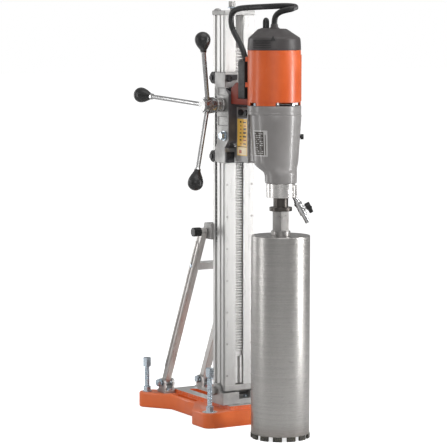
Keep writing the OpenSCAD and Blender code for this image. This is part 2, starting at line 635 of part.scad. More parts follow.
// The handle's route: side, forward, up, from the switch housing over the motor and down into its cap
handle_route = [[-30, 107, 832], [-30, 99, 850], [-30, 86, 866], [-30, 72, 880], [-31, 59, 893], [-33, 51, 906],
    [-34, 48, 918], [-34, 48, 930], [-33, 53, 940], [-30, 63, 946], [-25, 80, 949], [-18, 104, 950],
    [-10, 132, 951], [3, 158, 952], [16, 178, 953], [27, 192, 953], [35, 201, 952], [37, 208, 951],
    [34, 214, 949], [27, 215, 947], [20, 209, 945], [13, 201, 943], [7, 192, 940], [2, 184, 934], [0, 180, 926],
    [0, 179, 914]];
handle_end = motor_z1 + cap_band + cap_top_h;
handle_pts = [for (p = concat(handle_route, [[0, 179, 903]]))
    [p[0], -(p[1] - 179 + motor_f), p[2] - 903 + handle_end]];
function unit(v) = v / norm(v);
function along(p, i) = unit(p[min(i + 1, len(p) - 1)] - p[max(i - 1, 0)]);
// A round tube swept along the points p, its rings turned with the path
module sweep(p, r, n = 12) {
    ref = [1, 0.35, 0];
    rings = [for (i = [0:len(p) - 1]) let(t = along(p, i), u = unit(cross(t, ref)), v = cross(t, u))
        for (k = [0:n - 1]) p[i] + r * (cos(k * 360 / n) * u + sin(k * 360 / n) * v)];
    last = len(p) - 1;
    polyhedron(rings, concat([[for (k = [n - 1:-1:0]) k]], [[for (k = [0:n - 1]) last * n + k]],
        [for (i = [0:last - 1], k = [0:n - 1])
            [i * n + k, i * n + (k + 1) % n, (i + 1) * n + (k + 1) % n, (i + 1) * n + k]]));
}
module motor_handle() color(black) sweep(handle_pts, handle_d / 2);
sw_x = [-44, -16];
sw_f = [ad_f[0] + 31, motor_f - 54];
sw_z = [motor_z0 + 13, handle_pts[0][2] + 1];
module switch_housing() color(black) difference() {
    block(sw_x[0], sw_x[1], sw_f[0], sw_f[1], sw_z[0], sw_z[1]);
    at(0, motor_f, sw_z[0] - 1) cylinder(r = motor_r + run, h = 200, $fn = 96);
    block(button_x - 9, button_x + 9, sw_f[0] - 1, sw_f[0] + 6, button_z - 9, button_z + 9);
    sweep(handle_pts, handle_d / 2 + 0.02);
}
button_z = motor_z0 + 70;
button_x = (sw_x[0] + sw_x[1]) / 2;
module switch_button() color([0.75, 0.1, 0.08])
    block(button_x - 9 + gap, button_x + 9 - gap, sw_f[0] - 3, sw_f[0] + 2,
        button_z - 9 + gap, button_z + 9 - gap);
module power_lead() color(black) at(lead_x, lead_f, lead_seat) rotate([0, 0, 90]) {
    for (s = [-1, 1]) translate([s * lead_half, 0, 0.02]) cylinder(r = lead_r, h = lead_rise, $fn = 24);
    translate([0, 0, lead_rise]) rotate([90, 0, 0]) rotate_extrude(angle = 180, $fn = 48)
        translate([lead_half, 0]) circle(lead_r, $fn = 24);
}

// Inside the motor
module stator() color(steel) at(0, motor_f, motor_z0 + 22) difference() {
    cylinder(r = motor_r - motor_wall - 0.05, h = 74, $fn = 64);
    translate([0, 0, -1]) cylinder(r = 34, h = 80, $fn = 64);
}
first = [9, 26];                      // teeth: armature pinion and countershaft gear
second = [12, 26];                    // teeth: countershaft pinion and spindle gear
gear_m = 1.5;
d1 = gear_m * (first[0] + first[1]) / 2 + 0.05;
d2 = gear_m * (second[0] + second[1]) / 2 + 0.05;
spindle_f = motor_f + spindle_step;
lay_f = motor_f + (pow(d1, 2) - pow(d2, 2) + pow(spindle_step, 2)) / 2 / spindle_step;
lay_x = sqrt(pow(d1, 2) - pow(lay_f - motor_f, 2));
a1 = atan2(-(lay_f - motor_f), lay_x);            // from the motor's axis to the countershaft
a2 = atan2(-(lay_f - spindle_f), lay_x);          // from the spindle to the countershaft
g1_z = crank_z - 62;                  // lower face of the first gear stage
g2_z = g1_z - 24;
module armature() color(steel) at(0, motor_f) {
    translate([0, 0, g1_z + 1]) cylinder(r = 4.6, h = motor_z1 + 14 - g1_z);
    translate([0, 0, g1_z]) linear_extrude(16) gear_2d(gear_m, first[0], a1);
    translate([0, 0, motor_z0 + 24]) cylinder(r = 33, h = 70, $fn = 64);
    translate([0, 0, motor_z1 - 18]) cylinder(r = 15, h = 14);
    translate([0, 0, motor_z0 + 8]) cylinder(r = 44, h = 8, $fn = 64);
}
module countershaft() color(steel) at(lay_x, lay_f) {
    translate([0, 0, lay_z0]) cylinder(r = 5, h = g1_z + 14 - lay_z0);
    translate([0, 0, g1_z + 1]) linear_extrude(13) gear_2d(gear_m, first[1], a1 + 180 + 180 / first[1]);
    translate([0, 0, g2_z]) linear_extrude(18) gear_2d(gear_m, second[0], a2 + 180 + 180 / second[0]);
}
// A ball bearing as its closed ring, with a running bore
module bearing(r_in, r_out, h) difference() {
    cylinder(r = r_out, h = h, $fn = 64);
    translate([0, 0, -1]) cylinder(r = r_in + run, h = h + 2, $fn = 64);
}
spindle_r = 16.5;
neck_r = 35;
neck_z = crank_z - 167;               // lower end of the gearbox
lay_z0 = neck_z + 49;                 // lower end of the countershaft
module bearings() color(bright) {
    at(0, spindle_f, neck_z + 6) bearing(spindle_r, 26, 12);
    at(0, spindle_f, neck_z + 36) bearing(spindle_r, 26, 12);
    at(0, motor_f, motor_z0 + 0.5) bearing(4.6, 13, 6);
    at(0, motor_f, motor_z1 + 1) bearing(4.6, 13, 8);
}

// ---------- gearbox ----------
box_f = motor_f + spindle_step / 4;   // the gearbox stands a little in front of the motor
box_r = [motor_r - 8.5, motor_r - 1.7];   // at its lower and upper end
box_z0 = crank_z - 121;               // underside of the gearbox's main body
band_h = 20;                          // flange under the motor
box_wall = 4;
neck_top = box_z0 + 6;
plug_turn = -60;
selector_z = crank_z - 66;
box_slope = (box_r[1] - box_r[0]) / (motor_z0 - band_h - box_z0);
function box_at(z) = box_r[0] + box_slope * (z - box_z0);
selector_r = 6;
selector_lift = gap + selector_r * box_slope;   // clears the tapered wall at its upper edge
module gearbox_housing() color(cast_grey) difference() {
    union() {
        at(0, box_f, box_z0)
            cylinder(r1 = box_r[0], r2 = box_r[1], h = motor_z0 - band_h - box_z0 + eps, $fn = 96);
        at(0, motor_f, motor_z0 - band_h) cylinder(r = motor_r + 1.5, h = band_h, $fn = 96);
        block(-ad_w / 2 + 4, ad_w / 2 - 4, ad_f[1], box_f - box_r[0] + 20, ad_z[0] + 4, ad_z[1] - 4);
        at(0, box_f + 5, box_z0 - 10)
            cylinder(r1 = box_r[0] - 6, r2 = box_r[0] - 0.5, h = 10 + eps, $fn = 96);
        at(0, box_f + 12, box_z0 - 18) cylinder(r1 = box_r[0] - 13, r2 = box_r[0] - 8, h = 8 + eps, $fn = 96);
        at(0, spindle_f, neck_z) cylinder(r = neck_r, h = box_z0 - neck_z, $fn = 96);
    }
    at(0, box_f, neck_top) cylinder(r = box_r[0] - box_wall, h = 200, $fn = 96);
    at(0, spindle_f, neck_z - 1) cylinder(r = spindle_r + 1.5, h = 60, $fn = 64);
    at(0, spindle_f, neck_z + 6) cylinder(r = 26 + 0.02, h = 100, $fn = 64);
    at(lay_x, lay_f, lay_z0 - gap) cylinder(r = 5 + run, h = 60, $fn = 32);
    selector_place() cylinder(r = 3 + run, h = 20, $fn = 24, center = true);
}
module selector_place() at(0, box_f, selector_z) rotate([0, 0, -90 - plug_turn])
    translate([box_at(selector_z), 0, 0]) rotate([0, 90, 0]) children();
module gear_selector() color(black) selector_place() {
    translate([0, 0, -6]) cylinder(r = 3, h = 7, $fn = 24);
    translate([0, 0, selector_lift]) cylinder(r = selector_r, h = 7);
}
module spindle() color([0.25, 0.24, 0.24]) at(0, spindle_f) {
    translate([0, 0, spindle_z]) cylinder(r = spindle_r, h = g2_z + 17 - spindle_z, $fn = 64);
    translate([0, 0, g2_z + 1]) linear_extrude(15) gear_2d(gear_m, second[1], a2);
    translate([0, 0, spindle_z]) cylinder(r = 25, h = 8.5, $fn = 64);
}

// ---------- water feed ----------
collar_z = [neck_z - 31, neck_z];
collar_r = 31.5;
valve_turn = -60;                     // direction of the water valve, as plug_turn
valve_low = 62;                       // how steeply the valve points down
module water_collar() color(bright) at(0, spindle_f) difference() {
    union() {
        translate([0, 0, collar_z[0]]) cylinder(r = collar_r, h = collar_z[1] - collar_z[0], $fn = 96);
        rotate([0, 0, -90 - valve_turn]) translate([0, -11, collar_z[0]]) cube([collar_r + 4, 22, 26]);
    }
    translate([0, 0, collar_z[0] - 1]) cylinder(r = spindle_r + run, h = 60, $fn = 64);
    valve_place() translate([0, 0, -10]) cylinder(r = 5 + 0.02, h = 30, $fn = 32);
}
module valve_place() rotate([0, 0, -90 - valve_turn]) translate([collar_r - 3.5, 0, collar_z[0] + 4])
    rotate([0, 90 + valve_low, 0]) children();
valve_l = 68;
tap_at = 35;
tail_l = 20;
tail_r = 5.5;
module water_valve() color(bright) at(0, spindle_f) valve_place() difference() {
    union() {
        translate([0, 0, -6]) cylinder(r = 5, h = 22, $fn = 32);
        translate([0, 0, 13]) cylinder(r = 6.5, h = 10, $fn = 32);
        translate([0, 0, 18]) cylinder(r = 9, h = 6, $fn = 6);
        translate([0, 0, 22]) cylinder(r = 7.5, h = valve_l - tail_l - 22);
        translate([0, 0, valve_l - tail_l - 1]) cylinder(r = tail_r, h = tail_l + 1);
        translate([0, 0, tap_at]) rotate([0, -90, 0]) cylinder(r = 5, h = 11, $fn = 32);
    }
    translate([0, 0, 10]) cylinder(r = 3, h = valve_l, $fn = 24);
}
module valve_lever() color(black) at(0, spindle_f) valve_place() translate([-11 - gap, 0, tap_at])
    rotate([0, -90, 0]) {
        cylinder(r = 7.5, h = 12, $fn = 32);
        translate([0, -6.5, 2]) cube([17, 13, 9]);
    }

// ---------- core bit ----------
bit_r = bit_d / 2;
tube_r = bit_r - 1;
seg_h = 10;
shank_h = 44;                         // bit adapter above its collar
spindle_z = bit_l + 10 + shank_h;     // face of the spindle's flange
module bit_adapter() color(steel) at(0, spindle_f) {
    translate([0, 0, bit_l + 10]) cylinder(r = 20.5, h = shank_h - 0.02, $fn = 6);
    translate([0, 0, bit_l + 0.02]) cylinder(r = 21.5, h = 10);
}
module core_bit_tube() color([0.62, 0.60, 0.58]) at(0, spindle_f) difference() {
    translate([0, 0, seg_h]) cylinder(r = tube_r, h = bit_l - seg_h, $fn = 96);
    translate([0, 0, seg_h - 1]) cylinder(r = tube_r - bit_wall, h = bit_l - seg_h - 9, $fn = 96);
}
seg_arc = 21 / bit_r * 57.3;
module diamond_segments() color([0.25, 0.25, 0.25]) at(0, spindle_f) for (k = [0:seg_n - 1])
    rotate([0, 0, -120 - 7 - seg_arc / 2 + k * 360 / seg_n]) rotate_extrude(angle = seg_arc, $fn = 96)
        translate([tube_r - bit_wall - 0.6, 0]) square([bit_wall + 1.6, seg_h]);

base_plate();
column_bracket();
base_screws();
strut_lugs();
lock_nuts();
level_screw(0);  // level_screw_1
level_screw(1);  // level_screw_2
level_screw(2);  // level_screw_3
level_screw(3);  // level_screw_4
level_pad(0);  // level_pad_1
level_pad(1);  // level_pad_2
level_pad(2);  // level_pad_3
level_pad(3);  // level_pad_4
pivot_bolt();
column_profile();
column_foot_block();
rack();
guide_strips();
guide_screws();
depth_scale();
column_cap();
jack_screw();
jack_washer();
strut_clamp_block();
clamp_knob();
strut_leg_left();
strut_leg_right();
strut_cross_brace();
strut_bolts();
carriage_frame();
roller_mounts();
guide_rollers(roller_z[1]);  // guide_rollers_upper
guide_rollers(roller_z[0]);  // guide_rollers_lower
feed_pinion_shaft();
crank_hub();
crank_arms();
crank_knobs();
carriage_lock();
adapter_plate();
adapter_bolts();
label_plates();
motor_housing();
motor_cap();
motor_handle();
switch_housing();
switch_button();
power_lead();
stator();
armature();
bearings();
gearbox_housing();
countershaft();
spindle();
gear_selector();
water_collar();
water_valve();
valve_lever();
bit_adapter();
core_bit_tube();
diamond_segments();
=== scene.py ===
"""Core drill rig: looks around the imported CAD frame.

Metres, +Z up, -Y is the drilling side and -X the crank side. Angles round the motor are in
degrees from straight ahead (-Y) towards the crank (-X).
"""

import random
from math import copysign, cos, pi, radians, sin, tau

import bmesh
import bpy
from mathutils import Matrix, Vector


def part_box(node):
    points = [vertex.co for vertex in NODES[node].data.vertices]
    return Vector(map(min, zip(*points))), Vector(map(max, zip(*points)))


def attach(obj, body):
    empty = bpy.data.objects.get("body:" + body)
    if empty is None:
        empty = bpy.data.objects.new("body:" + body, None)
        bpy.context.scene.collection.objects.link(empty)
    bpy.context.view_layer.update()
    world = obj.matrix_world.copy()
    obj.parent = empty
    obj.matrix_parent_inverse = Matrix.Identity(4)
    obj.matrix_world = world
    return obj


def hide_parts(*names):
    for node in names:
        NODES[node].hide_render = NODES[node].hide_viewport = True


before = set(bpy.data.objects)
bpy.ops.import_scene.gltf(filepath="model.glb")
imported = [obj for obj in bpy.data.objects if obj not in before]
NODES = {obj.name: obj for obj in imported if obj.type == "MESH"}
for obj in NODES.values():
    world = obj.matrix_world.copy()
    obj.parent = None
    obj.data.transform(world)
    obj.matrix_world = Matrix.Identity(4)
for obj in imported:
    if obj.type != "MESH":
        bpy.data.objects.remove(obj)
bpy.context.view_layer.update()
MM = 0.001

# ---------- places and sizes taken from the frame ----------


def middle(node):
    low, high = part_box(node)
    return (low + high) / 2


def size(node):
    low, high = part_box(node)
    return high - low


MOTOR = middle("motor_cap")                   # the motor's axis runs through it
MOTOR_R = size("motor_cap").x / 2
HOUSING_LOW, HOUSING_HIGH = (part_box("motor_housing")[k].z for k in (0, 1))
CAP_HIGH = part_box("motor_cap")[1].z
BIT = middle("core_bit_tube")                 # the spindle's axis runs through it
GEARBOX_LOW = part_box("gearbox_housing")[0].z
SPINDLE_STEP = MOTOR.y - BIT.y
BOX_Y = MOTOR.y - SPINDLE_STEP / 4            # the gearbox stands a little in front of the motor

# ---------- camera ----------
TARGET = Vector((-0.019, 0.011, 0.4583))
AZIMUTH = radians(-30)
PITCH = radians(5.585)
DISTANCE = 4.672
LENS = 164.3
SENSOR = 36


def show(made):
    bpy.context.scene.collection.objects.link(made)
    return made


def add_camera():
    data = bpy.data.cameras.new("camera")
    data.lens, data.sensor_width = LENS, SENSOR
    camera = show(bpy.data.objects.new("camera", data))
    level = cos(PITCH)
    away = Vector((sin(AZIMUTH) * level, -cos(AZIMUTH) * level, sin(PITCH)))
    camera.location = TARGET + away * DISTANCE
    camera.rotation_euler = (pi / 2 - PITCH, 0, AZIMUTH)
    bpy.context.scene.camera = camera


add_camera()

# ---------- shader building ----------


class Nodes:
    """Short ways to place and link the nodes of a tree."""

    def __init__(self, tree):
        self.tree = tree

    def node(self, kind, values=None, **settings):
        made = self.tree.nodes.new(kind)
        for key, value in settings.items():
            setattr(made, key, value)
        for key, value in (values or {}).items():
            self.feed(value, made.inputs[key])
        return made

    def feed(self, value, socket):
        if isinstance(value, bpy.types.NodeSocket):
            self.tree.links.new(value, socket)
        elif socket.type == "RGBA":
            socket.default_value = (*value, 1)
        else:
            socket.default_value = value

    def maths(self, operation, a, b=0.0):
        return self.node("ShaderNodeMath", {0: a, 1: b}, operation=operation).outputs[0]

    def times(self, a, b):
        return self.maths("MULTIPLY", a, b)


class Shader(Nodes):
    """A material, or a shared group of shader nodes."""

    def ramp(self, value, low, high, to_low=0.0, to_high=1.0):
        """Maps value from low..high to to_low..to_high, smoothly."""
        values = {0: value, 1: low, 2: high, 3: to_low, 4: to_high}
        return self.node("ShaderNodeMapRange", values, interpolation_type="SMOOTHSTEP").outputs[0]

    def grey(self, value):
        return self.node("ShaderNodeCombineColor", {0: value, 1: value, 2: value}).outputs[0]

    def mix(self, factor, a, b):
        """Mixes two colours."""
        made = self.node("ShaderNodeMix", data_type="RGBA")
        for value, key in ((factor, 0), (a, 6), (b, 7)):
            self.feed(value, made.inputs[key])
        return made.outputs[2]

    def noise(self, vector, scale, detail=3.0, rough=0.5):
        values = {"Vector": vector, "Scale": scale, "Detail": detail, "Roughness": rough}
        return self.node("ShaderNodeTexNoise", values).outputs[0]

    def stretch(self, vector, scale):
        return self.node("ShaderNodeMapping", {"Vector": vector, "Scale": scale}).outputs[0]

    def group(self, group, **values):
        made = self.node("ShaderNodeGroup", node_tree=group)
        for key, value in values.items():
            self.feed(value, made.inputs[key.replace("_", " ")])
        return made.outputs


def new_group(name, inputs, outputs):
    """An empty shader group with named float or vector inputs and float outputs."""
    tree = bpy.data.node_groups.new(name, "ShaderNodeTree")
    for label, kind, value in inputs:
        socket = tree.interface.new_socket(name=label, in_out="INPUT", socket_type=kind)
        if value is not None:
            socket.default_value = value
    for label in outputs:
        tree.interface.new_socket(name=label, in_out="OUTPUT", socket_type="NodeSocketFloat")
    get, put = tree.nodes.new("NodeGroupInput"), tree.nodes.new("NodeGroupOutput")
    return Shader(tree), get.outputs, put.inputs


FLOAT, VECTOR = "NodeSocketFloat", "NodeSocketVector"


def make_grain():
    """Fine cast or moulded grain, with a slow change of tone."""
    s, get, put = new_group("grain", [("Vector", VECTOR, None), ("Scale", FLOAT, 900.0),
                                      ("Slow scale", FLOAT, 14.0)],
                            ["Height", "Tone"])
    fine = s.noise(get["Vector"], get["Scale"], 2.0, 0.6)
    slow = s.noise(get["Vector"], get["Slow scale"], 4.0, 0.6)
    s.feed(fine, put["Height"])
    s.feed(s.ramp(slow, 0.3, 0.7), put["Tone"])
    return s.tree


def make_brush():
    """Fine lines left by drawing, grinding or turning, on a vector squeezed along the lines."""
    s, get, put = new_group("brush", [("Vector", VECTOR, None), ("Scale", FLOAT, 600.0)],
                            ["Height", "Tone"])
    lines = s.noise(get["Vector"], get["Scale"], 4.0, 0.7)
    broad = s.noise(get["Vector"], s.times(get["Scale"], 0.13), 3.0, 0.6)
    s.feed(lines, put["Height"])
    s.feed(s.ramp(broad, 0.32, 0.68), put["Tone"])
    return s.tree


def make_edge_wear():
    """Bare metal where an edge is rubbed."""
    s, get, put = new_group("edge_wear", [("Vector", VECTOR, None), ("Amount", FLOAT, 0.5),
                                          ("Scale", FLOAT, 120.0)],
                            ["Mask"])
    point = s.node("ShaderNodeNewGeometry").outputs["Pointiness"]
    edge = s.ramp(point, 0.53, 0.60)
    patch = s.ramp(s.noise(get["Vector"], get["Scale"], 5.0, 0.65), 0.48, 0.62)
    s.feed(s.times(s.times(edge, patch), get["Amount"]), put["Mask"])
    return s.tree


def make_dust():
    """Pale drilling dust on faces that look up, in patches."""
    s, get, put = new_group("dust", [("Vector", VECTOR, None), ("Normal", VECTOR, None),
                                     ("Amount", FLOAT, 0.3), ("Scale", FLOAT, 40.0)], ["Mask"])
    up = s.node("ShaderNodeSeparateXYZ", {0: get["Normal"]}).outputs[2]
    facing = s.ramp(up, 0.2, 0.95)
    patch = s.ramp(s.noise(get["Vector"], get["Scale"], 6.0, 0.7), 0.35, 0.75)
    s.feed(s.times(s.times(facing, patch), get["Amount"]), put["Mask"])
    return s.tree


GRAIN, BRUSH, EDGE_WEAR, DUST = make_grain(), make_brush(), make_edge_wear(), make_dust()
DUST_COLOUR = (0.55, 0.53, 0.50)


def start_material(name, metallic=0.0, coat=0.0, specular=0.5, anisotropy=0.0):
    """A material with its Principled shader, and the object's coordinates and normal."""
    material = bpy.data.materials.new(name)
    material.use_nodes = True
    s = Shader(material.node_tree)
    s.bsdf = material.node_tree.nodes["Principled BSDF"]
    s.bsdf.inputs["Metallic"].default_value = metallic
    s.bsdf.inputs["Coat Weight"].default_value = coat
    s.bsdf.inputs["Coat Roughness"].default_value = 0.12
    s.bsdf.inputs["Specular IOR Level"].default_value = specular
    s.bsdf.inputs["Anisotropic"].default_value = anisotropy
    place = s.node("ShaderNodeTexCoord")
    s.at, s.normal = place.outputs["Object"], place.outputs["Normal"]
    s.material = material
    return s


def finish_material(s, colour, roughness, height, depth):
    """Feeds the colour, the roughness and a bump of the given depth in mm."""
    s.feed(colour, s.bsdf.inputs["Base Color"])
    s.feed(roughness, s.bsdf.inputs["Roughness"])
    bump = s.node("ShaderNodeBump", {"Height": height, "Distance": depth * MM, "Strength": 1.0})
    s.feed(bump.outputs[0], s.bsdf.inputs["Normal"])
    return s.material


def paint(name, colour, deep, rough=0.36, grain=900.0, depth=0.06, coat=0.25, worn=0.5, dust=0.15):
    """Powder coat or enamel on a casting, rubbed to metal at its edges."""
    s = start_material(name, coat=coat)
    g = s.group(GRAIN, Vector=s.at, Scale=grain)
    wear = s.group(EDGE_WEAR, Vector=s.at, Amount=worn)["Mask"]
    dirt = s.group(DUST, Vector=s.at, Normal=s.normal, Amount=dust)["Mask"]
    tone = s.mix(g["Tone"], deep, colour)
    tone = s.mix(wear, tone, (0.60, 0.58, 0.56))
    tone = s.mix(dirt, tone, DUST_COLOUR)
    roughness = s.maths("ADD", s.ramp(g["Tone"], 0, 1, rough - 0.04, rough + 0.06),
                        s.times(dirt, 0.6))
    return finish_material(s, tone, roughness, g["Height"], depth)


def cast_metal(name, colour, deep, rough=0.5, grain=1100.0, depth=0.08, metallic=0.85, dust=0.25):
    """Blasted or machined light alloy."""
    s = start_material(name, metallic=metallic)
    g = s.group(GRAIN, Vector=s.at, Scale=grain, Slow_scale=22.0)
    dirt = s.group(DUST, Vector=s.at, Normal=s.normal, Amount=dust)["Mask"]
    tone = s.mix(dirt, s.mix(g["Tone"], deep, colour), DUST_COLOUR)
    roughness = s.ramp(g["Tone"], 0, 1, rough + 0.08, rough - 0.06)
    return finish_material(s, tone, roughness, g["Height"], depth)


def lined_metal(name, colour, deep, squeeze, rough=0.34, depth=0.02, metallic=1.0, scale=600.0,
                spread=0.1, anisotropy=0.3):
    """Drawn, ground or turned metal: squeeze shortens the axis that the lines run along."""
    s = start_material(name, metallic=metallic, anisotropy=anisotropy)
    b = s.group(BRUSH, Vector=s.stretch(s.at, squeeze), Scale=scale)
    smear = s.noise(s.at, 9.0, 5.0, 0.6)
    tone = s.mix(b["Tone"], deep, colour)
    tone = s.mix(s.ramp(smear, 0.5, 0.8, 0.0, 0.35), tone, deep)
    roughness = s.ramp(b["Height"], 0.3, 0.7, rough - spread, rough + spread)
    return finish_material(s, tone, roughness, b["Height"], depth)


def plated(name, colour, deep, rough=0.14, depth=0.01):
    """Chrome or zinc plating with faint clouding and handling marks."""
    s = start_material(name, metallic=1.0)
    cloud = s.ramp(s.noise(s.at, 70.0, 5.0, 0.65), 0.35, 0.7)
    marks = s.noise(s.stretch(s.at, (1, 1, 0.2)), 420.0, 3.0)
    tone = s.mix(cloud, colour, deep)
    roughness = s.ramp(cloud, 0, 1, rough, rough + 0.14)
    return finish_material(s, tone, roughness, marks, depth)


def moulded(name, colour, worn, rough=0.46, grain=1500.0, depth=0.05, dust=0.12):
    """Moulded plastic with a spark-eroded grain, polished a little where it is gripped."""
    s = start_material(name, specular=0.4)
    g = s.group(GRAIN, Vector=s.at, Scale=grain, Slow_scale=30.0)
    wear = s.group(EDGE_WEAR, Vector=s.at, Amount=0.35, Scale=200.0)["Mask"]
    dirt = s.group(DUST, Vector=s.at, Normal=s.normal, Amount=dust)["Mask"]
    tone = s.mix(wear, s.mix(s.times(g["Tone"], 0.5), colour, worn), worn)
    tone = s.mix(dirt, tone, DUST_COLOUR)
    roughness = s.ramp(g["Tone"], 0, 1, rough + 0.06, rough - 0.06)
    return finish_material(s, tone, roughness, g["Height"], depth)


def turned_tube(name):
    """The bit's tube: turning rings, a few deeper rubs and a brown tint near the segments."""
    s = start_material(name, metallic=1.0, anisotropy=0.45)
    b = s.group(BRUSH, Vector=s.stretch(s.at, (0.02, 0.02, 1)), Scale=2600.0)
    rubs = s.noise(s.stretch(s.at, (0.3, 0.3, 3)), 60.0, 6.0, 0.7)
    tone = s.mix(b["Tone"], (0.41, 0.40, 0.385), (0.46, 0.445, 0.43))
    tone = s.mix(s.ramp(rubs, 0.55, 0.75, 0, 0.3), tone, (0.53, 0.515, 0.495))
    low = s.ramp(s.node("ShaderNodeSeparateXYZ", {0: s.at}).outputs[2], 0.010, 0.045, 0.35, 0.0)
    tone = s.mix(low, tone, (0.17, 0.13, 0.10))
    roughness = s.ramp(b["Height"], 0.3, 0.7, 0.24, 0.37)
    return finish_material(s, tone, roughness, b["Height"], 0.008)


def grit(name):
    """Sintered matrix with pale diamonds in it."""
    s = start_material(name, metallic=0.3)
    cells = s.node("ShaderNodeTexVoronoi", {"Vector": s.at, "Scale": 900.0}).outputs["Distance"]
    stones = s.ramp(cells, 0.30, 0.18)
    tone = s.mix(stones, (0.045, 0.043, 0.04), (0.42, 0.38, 0.25))
    return finish_material(s, tone, s.ramp(cells, 0, 1, 0.3, 0.8), cells, 0.25)


def printed(name, colour, deep, rough=0.3):
    """A printed film, a little uneven."""
    s = start_material(name, coat=0.3)
    g = s.group(GRAIN, Vector=s.at, Scale=1800.0, Slow_scale=60.0)
    return finish_material(s, s.mix(g["Tone"], colour, deep),
                           s.ramp(g["Tone"], 0, 1, rough, rough + 0.1), g["Height"], 0.01)


# Each finish: how it is made, its colour, the colour beside it, and what else it sets
FINISHES = {
    "orange cast": (paint, (0.76, 0.150, 0.028), (0.67, 0.122, 0.021),
                    dict(rough=0.40, depth=0.10, coat=0.2, worn=0.2, dust=0.12)),
    "orange smooth": (paint, (0.66, 0.110, 0.017), (0.59, 0.090, 0.013),
                      dict(rough=0.34, grain=1600.0, depth=0.006, coat=0.12, worn=0.06, dust=0.0)),
    # a darker orange that paints the shade on the motor housing's rear
    "orange shade": (paint, (0.20, 0.020, 0.006), (0.15, 0.014, 0.005),
                     dict(rough=0.5, dust=0.0, coat=0.0, worn=0.1)),
    "grey paint": (paint, (0.235, 0.225, 0.220), (0.205, 0.195, 0.190),
                   dict(rough=0.34, grain=1300.0, depth=0.03, coat=0.35, worn=0.5, dust=0.06)),
    "casting": (cast_metal, (0.44, 0.435, 0.425), (0.33, 0.325, 0.32), dict()),
    "milled": (lined_metal, (0.74, 0.73, 0.71), (0.62, 0.61, 0.59),
               dict(squeeze=(1, 0.08, 1), rough=0.38)),
    "drawn": (lined_metal, (0.68, 0.675, 0.665), (0.58, 0.575, 0.565),
              dict(squeeze=(1, 1, 0.012), rough=0.40)),
    "ground": (lined_metal, (0.575, 0.57, 0.56), (0.515, 0.51, 0.50),
               dict(squeeze=(1, 1, 0.02), rough=0.36)),
    "leg": (lined_metal, (0.70, 0.68, 0.66), (0.58, 0.56, 0.54),
            dict(squeeze=(1, 0.05, 0.03), rough=0.34)),
    "rack steel": (lined_metal, (0.74, 0.735, 0.725), (0.64, 0.635, 0.625),
                   dict(squeeze=(0.05, 1, 1), rough=0.5, metallic=0.45)),
    # a dark alloy that paints the shade along the carriage's front
    "dark alloy": (cast_metal, (0.13, 0.125, 0.13), (0.09, 0.085, 0.09),
                   dict(metallic=0.5, dust=0.05)),
    "steel": (lined_metal, (0.42, 0.41, 0.40), (0.30, 0.29, 0.28),
              dict(squeeze=(0.3, 0.3, 0.3), rough=0.36)),
    "zinc": (plated, (0.58, 0.66, 0.72), (0.46, 0.52, 0.58), dict(rough=0.22)),
    "arm": (plated, (0.50, 0.50, 0.50), (0.40, 0.40, 0.40), dict(rough=0.20, depth=0.002)),
    "nickel": (plated, (0.80, 0.78, 0.76), (0.66, 0.64, 0.62), dict(rough=0.24, depth=0.004)),
    "chrome": (plated, (0.70, 0.70, 0.70), (0.58, 0.58, 0.58), dict(rough=0.13, depth=0.002)),
    "black": (moulded, (0.011, 0.011, 0.011), (0.03, 0.03, 0.03), dict(rough=0.5, dust=0.05)),
    "knob": (moulded, (0.014, 0.014, 0.014), (0.035, 0.035, 0.035),
             dict(rough=0.30, grain=2200.0, depth=0.01, dust=0.04)),
    "cap": (moulded, (0.046, 0.041, 0.041), (0.070, 0.063, 0.063), dict(rough=0.42, dust=0.04)),
    "rubber": (moulded, (0.016, 0.016, 0.016), (0.035, 0.035, 0.035), dict(rough=0.62)),
    "oxide": (cast_metal, (0.050, 0.050, 0.052), (0.028, 0.028, 0.030),
              dict(rough=0.42, metallic=0.6, dust=0.12)),
    "phosphate": (cast_metal, (0.105, 0.095, 0.088), (0.065, 0.058, 0.053),
                  dict(rough=0.36, metallic=0.9, depth=0.03, dust=0.05)),
    "winding": (cast_metal, (0.22, 0.10, 0.04), (0.12, 0.06, 0.03), dict(rough=0.5, dust=0.0)),
    "yellow film": (printed, (0.83, 0.50, 0.10), (0.76, 0.44, 0.08), dict()),
    "pale film": (printed, (0.80, 0.66, 0.40), (0.72, 0.58, 0.34), dict()),
    "ink": (printed, (0.030, 0.025, 0.020), (0.05, 0.04, 0.03), dict()),
    "red ink": (printed, (0.45, 0.10, 0.03), (0.38, 0.08, 0.03), dict()),
    "plate": (printed, (0.50, 0.49, 0.48), (0.42, 0.41, 0.40), dict()),
    "white": (printed, (0.80, 0.80, 0.78), (0.70, 0.70, 0.68), dict()),
    "strip": (printed, (0.020, 0.020, 0.020), (0.03, 0.03, 0.03), dict()),
    "red": (moulded, (0.35, 0.020, 0.014), (0.42, 0.04, 0.03), dict(rough=0.3)),
}
FINISH = {name: make(name.replace(" ", "_"), colour, beside, **rest)
          for name, (make, colour, beside, rest) in FINISHES.items()}
FINISH["tube"] = turned_tube("tube")
FINISH["grit"] = grit("grit")

# ---------- mesh helpers ----------


def to_object(name, mesh, finishes, smooth_angle=32.0):
    """Links a mesh as a piece, with its finishes and its edges sharp above an angle."""
    if not mesh.materials:
        for finish in [finishes] if isinstance(finishes, str) else finishes:
            mesh.materials.append(FINISH[finish])
    mesh.polygons.foreach_set("use_smooth", [True] * len(mesh.polygons))
    mesh.set_sharp_from_angle(angle=radians(smooth_angle))
    return show(bpy.data.objects.new(name, mesh))


def from_bmesh(name, bm, finishes, smooth_angle=32.0, outward=True):
    if outward:
        bmesh.ops.recalc_face_normals(bm, faces=bm.faces)
    mesh = bpy.data.meshes.new(name)
    bm.to_mesh(mesh)
    bm.free()
    return to_object(name, mesh, finishes, smooth_angle)


